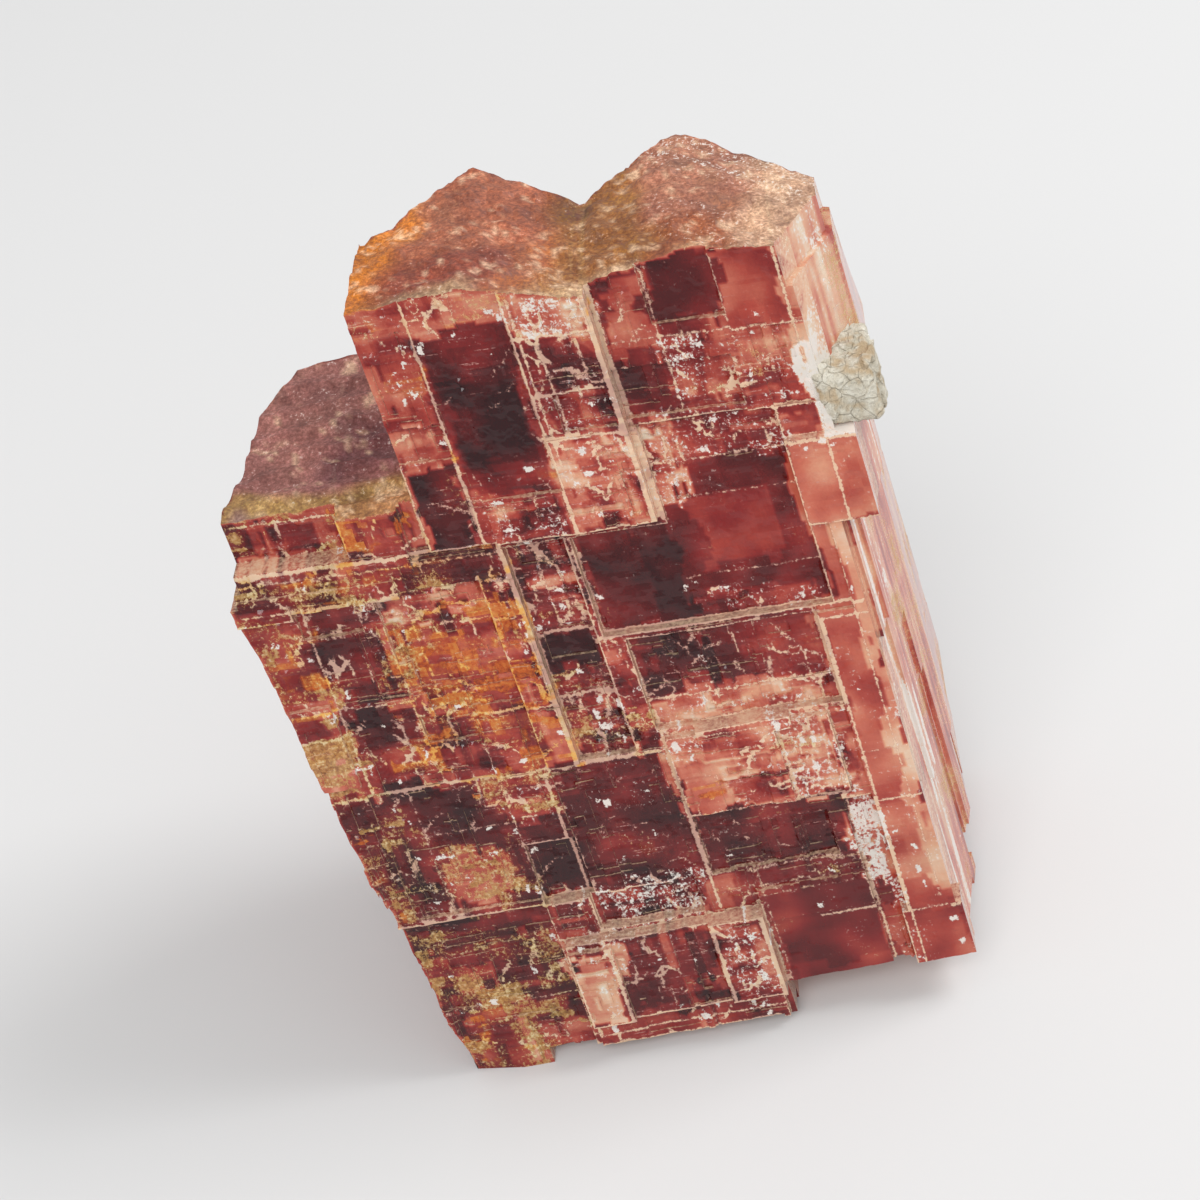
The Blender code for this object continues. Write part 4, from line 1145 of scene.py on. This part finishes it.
def makeCrystalFinish():
    material, tree, shader, place = newFinish("crystal")
    absorb = addNode(tree, "VolumeAbsorption", crystalLook["volume"]).outputs[0]
    setInputs(tree.nodes["Material Output"], {"Volume": absorb})

    values = {"Place": place, **crystalLook["cells"]}
    cell = groupNode(tree, cleavageGroup(), values)["Cell"]
    breaks = groupNode(tree, fractureGroup(), {"Place": place})
    grain, patches = breaks["Grain"], breaks["Patches"]
    side, ledge, natural = (attribute(tree, name) for name in ("side", "ledge", "natural"))
    painted = [attribute(tree, name) for name in finishNames]
    plain = sideAmounts(place, patches)
    tint, cloud, stain, ochre, white = (blended(side, one, two) for one, two in zip(painted, plain))

    # small cells and drifts change the depth of the red
    step = times(times(calc("SUBTRACT", cell, 0.5), 0.14), cloud)
    step = timesPlus(times(grain, cloud), 0.10, step)
    drift = timesPlus(patches, 0.24, -0.13)
    colour = ramp(calc("ADD", tint, calc("ADD", step, drift)), crystalColours["body"])

    # scratches along the cleavage keep to broad patches; the traces fade where a ledge starts
    busy = ramped(timesPlus(cloud, 0.9, times(patches, 0.5)), 0.35, 1.20)
    values = {"Place": place, "Share": times(busy, crystalLook["scratchShare"]),
              **crystalLook["scratches"]}
    scratches = groupNode(tree, strokeGroup(), values)["Strokes"]
    scratches = times(times(scratches, ramped(grain, 0.30, 0.75)), 0.75)
    drawn = timesPlus(grain, 0.4, calc("SUBTRACT", attribute(tree, "trace"), 0.2))
    drawn = times(ramped(drawn, 0.26, 0.60), timesPlus(ledge, -0.72, calc("SUBTRACT", 1.0, side)))
    lines = calc("MAXIMUM", scratches, drawn)

    # iron and ochre colour the traces first, then creep over the cells
    deep = timesPlus(cell, 0.35, times(grain, 0.45))
    iron = ramp(timesPlus(lines, 0.5, deep), crystalColours["iron"])
    grit = ramp(timesPlus(lines, 0.4, times(grain, 0.8)), crystalColours["ochre"])
    pallor = times(drawn, timesPlus(ramped(tint, 0.10, 0.40), 0.7, 0.3))
    lineColour = mixed(pallor, crystalColours["crack"], crystalColours["trace"])
    lineColour = mixed(ramped(ochre, 0.15, 0.8), lineColour, grit)
    lineColour = mixed(times(ramped(stain, 0.2, 0.9), 0.80), lineColour, iron)
    colour = mixed(times(lines, 0.9), colour, lineColour)
    creep = timesPlus(cell, 0.40, timesPlus(patches, 0.45, -0.38))
    ironShare = ramped(timesPlus(stain, 0.66, creep), 0.42, 0.80)
    colour = mixed(times(ironShare, 0.8), colour, iron)
    dusty = timesPlus(patches, 0.50, timesPlus(grain, 0.50, -0.42))
    gritShare = ramped(timesPlus(ochre, 0.75, dusty), 0.45, 0.85)
    colour = mixed(times(gritShare, 0.75), colour, grit)

    # weathered skin has its own colours, mottled by the grit; narrow ledges get the pale trace colour,
    # partly pale cleavage traces at the steps and partly a painted highlight where they would catch the
    # light
    skin = addNode(tree, "Attribute", attribute_name="skinColour").outputs["Vector"]
    mottled = mixed(1.0, skin, ramp(grain, crystalColours["grit"]), "MULTIPLY")
    colour = mixed(times(natural, 0.9), colour, mottled)
    colour = mixed(times(ledge, timesPlus(grain, 0.6, 0.12)), colour, crystalColours["trace"])

    # broken white, with red showing between the flakes; the white flecks in it are painted glints
    flakes = timesPlus(cell, 0.35, times(grain, 0.8))
    whiteShare = ramped(calc("ADD", white, calc("SUBTRACT", flakes, 0.62)), 0.42, 0.75)
    colour = mixed(whiteShare, colour, crystalColours["white"])

    matt = calc("MAXIMUM", times(lines, 0.30), times(gritShare, 0.5))
    matt = timesPlus(natural, 0.40, calc("MAXIMUM", matt, times(ironShare, 0.25)))
    rough = calc("ADD", matt, crystalLook["roughness"], clamp=True)
    setInputs(shader, {**crystalLook["glass"], "Base Color": colour, "Roughness": rough})
    return material


# the parts of the skin, the front's wear, how near a natural face its skin reaches, how far back the
# painted front ends, and what is added to a gap past a natural face's end
skinParts = ("front", "side", "ledge", "natural")
skinRules = {
    "wear": [(0.035, 1.1, 51, 3), (0.02, 0.35, 52, 2)],
    "near": 0.06,
    "painted": 0.5,
    "pastEnd": 9.0,
}


def carvedBlock(across, back, rise):
    # the cleavage block with its fine relief, cut by the natural faces, and its front's maps
    points, faces, kinds, levels, shifts = cleavageBlock(across, back, rise)
    print("cleavage block:", len(faces), "quads")
    amounts, trace, relief = frontMaps(across, rise, levels, shifts)
    worn = roughened(0.0, points, skinRules["wear"]) + sampled(relief, across, rise, points)
    facing = (points[:, 1] < grid["frontEnd"]) & (points[:, 2] > 0.01)
    points[facing, 1] += worn[facing]
    leanRight(points)
    mesh = bpy.data.meshes.new("crystalBody")
    mesh.from_pydata(points.tolist(), [], faces.tolist())
    for name in skinParts:
        mesh.materials.append(bpy.data.materials.new(name))
    near = points[faces, 1].max(axis=1) <= grid["frontEnd"] + 0.01
    part = np.where(near, np.where(kinds == frontSide, 0, 2), 1)
    mesh.polygons.foreach_set("material_index", part.astype(np.int32))
    dissolved(mesh, kinds)
    block = linked(mesh, mesh.name)
    for name in naturalFaces:
        cutter = cutterMesh(name)
        cutter.materials.append(bpy.data.materials["natural"])
        cutAway(block, linked(cutter, name))
    count = sum(len(face.vertices) - 2 for face in block.data.polygons)
    print("cut by", len(naturalFaces), "natural faces:", count, "triangles")
    return block, amounts, trace


def addAttribute(mesh, name, domain, values):
    # one number or one colour for each face or point
    kind, label = (("FLOAT", "value"), ("FLOAT_VECTOR", "vector"))[values.ndim - 1]
    made = mesh.attributes.new(name, kind, domain)
    made.data.foreach_set(label, values.ravel().astype(np.float32))


def markParts(mesh, finish):
    # which part of the skin each face is, then one see-through finish over all of it
    index = np.zeros(len(mesh.polygons), np.int32)
    mesh.polygons.foreach_get("material_index", index)
    partNames = np.array([material.name for material in mesh.materials])[index]
    for name in skinParts[1:]:
        addAttribute(mesh, name, "FACE", partNames == name)
    mesh.polygons.foreach_set("material_index", np.zeros(len(index), np.int32))
    mesh.materials.clear()
    mesh.materials.append(finish)
    for name in skinParts:
        bpy.data.materials.remove(bpy.data.materials[name])


def naturalGaps(places):
    # how far each place lies from each natural face, and far past the ends of the shorter ones
    gaps = []
    for name, (_, axis, (_, end), *_) in naturalFaces.items():
        one, two = np.delete(places, axis, axis=1).T
        past = (one > end + 0.05) * skinRules["pastEnd"]
        gaps.append(np.abs(places[:, axis] - faceHeight(name, one, two)) + past)
    return np.stack(gaps)


def makeCrystal(finish):
    across, back, rise = marks()
    block, amounts, trace = carvedBlock(across, back, rise)
    mesh = block.data
    markParts(mesh, finish)
    places = pointsOf(mesh)
    values = sampled(amounts, across, rise, places)
    gaps = naturalGaps(places)
    closest = np.array(list(naturalFaces))[np.argmin(gaps, axis=0)]
    natural = np.min(gaps, axis=0) < skinRules["near"]
    skin = np.ones((len(places), 3))
    skin[natural], values[natural] = weatheredSkin(closest[natural], places[natural])
    inner = ~natural & (places[:, 1] > skinRules["painted"])
    skin[inner], _ = weatheredSkin(np.full(inner.sum(), "cut"), places[inner])
    addAttribute(mesh, "skinColour", "POINT", skin)
    columns = [*values.T, sampled(trace, across, rise, places)]
    for name, column in zip(finishNames + ("trace",), columns):
        addAttribute(mesh, name, "POINT", column)
    settle(mesh, places)
    mesh.name = "crystalBody"
    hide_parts("rhodochrosite_crystal")
    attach(block, "root")


# the chalky crust on the right front edge
crust = {
    "centre": (22.6, 1.75, 26.55),
    "half": (1.38, 2.0, 1.32),
    "square": 7.0,
    "steps": 36,
    "sunk": 0.14,
    "lumps": [(0.13, 1.6, 81, 4, 0.6), (0.04, 0.3, 82, 2)],
    "slabs": 0.10,
    "warp": 0.9, "web": 1.3, "grain": (5.0, 4.0, 0.65), "blotch": (1.1, 2.0),
    "crackWidth": 0.07, "relief": {"crack": 0.06, "grain": 0.10},
    "specular": 0.25,
    "colours": [(0, (0.42, 0.36, 0.26)), (0.35, (0.66, 0.60, 0.48)), (0.75, (0.82, 0.78, 0.67))],
    "stain": (0.62, 0.42, 0.22, 1.0),
}


def makeCrustFinish():
    material, tree, shader, place = newFinish("chalkyCrust")
    warp = addNode(tree, "TexNoise", {"Vector": place, "Scale": crust["warp"]}).outputs["Color"]
    values = {"Vector": scaled(warp, [crust["warp"]] * 3, place), "Scale": crust["web"]}
    web = addNode(tree, "TexVoronoi", values, feature="DISTANCE_TO_EDGE").outputs["Distance"]
    grain = ramped(clouds(place, *crust["grain"]), 0.33, 0.67, "LINEAR")
    blotch = ramped(clouds(place, *crust["blotch"]), 0.35, 0.65, "LINEAR")
    crack = ramped(web, 0.0, times(blotch, crust["crackWidth"]))
    shade = timesPlus(grain, 0.35, times(blotch, 0.5))
    colour = ramp(times(shade, timesPlus(crack, 0.55, 0.45)), crust["colours"])
    colour = mixed(times(ramped(blotch, 0.45, 0.05), 0.5), colour, crust["stain"])
    relief = crust["relief"]
    height = timesPlus(crack, relief["crack"], times(grain, relief["grain"]))
    bump = addNode(tree, "Bump", {"Distance": mm, "Height": height}).outputs[0]
    setInputs(shader, {"Specular IOR Level": crust["specular"], "Base Color": colour,
                       "Roughness": timesPlus(grain, 0.2, 0.7), "Normal": bump})
    return material


def makeCrust(finish):
    # a squarish worn lump wrapped round the edge, blocky where it has cracked
    skin = bmesh.new()
    bmesh.ops.create_cube(skin, size=2.0)
    bmesh.ops.subdivide_edges(skin, edges=skin.edges[:], cuts=crust["steps"], use_grid_fill=True)
    mesh = bpy.data.meshes.new("chalkyCrust")
    skin.to_mesh(mesh)
    skin.free()
    points, power = pointsOf(mesh), crust["square"]
    points /= (np.abs(points) ** power).sum(axis=1, keepdims=True) ** (1.0 / power)
    outward = points / np.linalg.norm(points, axis=1, keepdims=True)
    places = points * crust["half"] + crust["centre"]
    lumps = roughened(0.0, places, crust["lumps"])
    slabs = crust["slabs"] * np.sign(noiseField(places * (1.0, 1.0, 0.6), 1.0, 83, 1))
    places += outward * (lumps + slabs - crust["sunk"])[:, None]
    settle(mesh, places)
    mesh.materials.append(finish)
    piece = linked(mesh, mesh.name)
    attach(piece, "root")
    print("crust:", len(mesh.polygons), "quads")


makeCamera()
makeStage()
print("camera, floor and lamps ready")
makeCrystal(makeCrystalFinish())
makeCrust(makeCrustFinish())
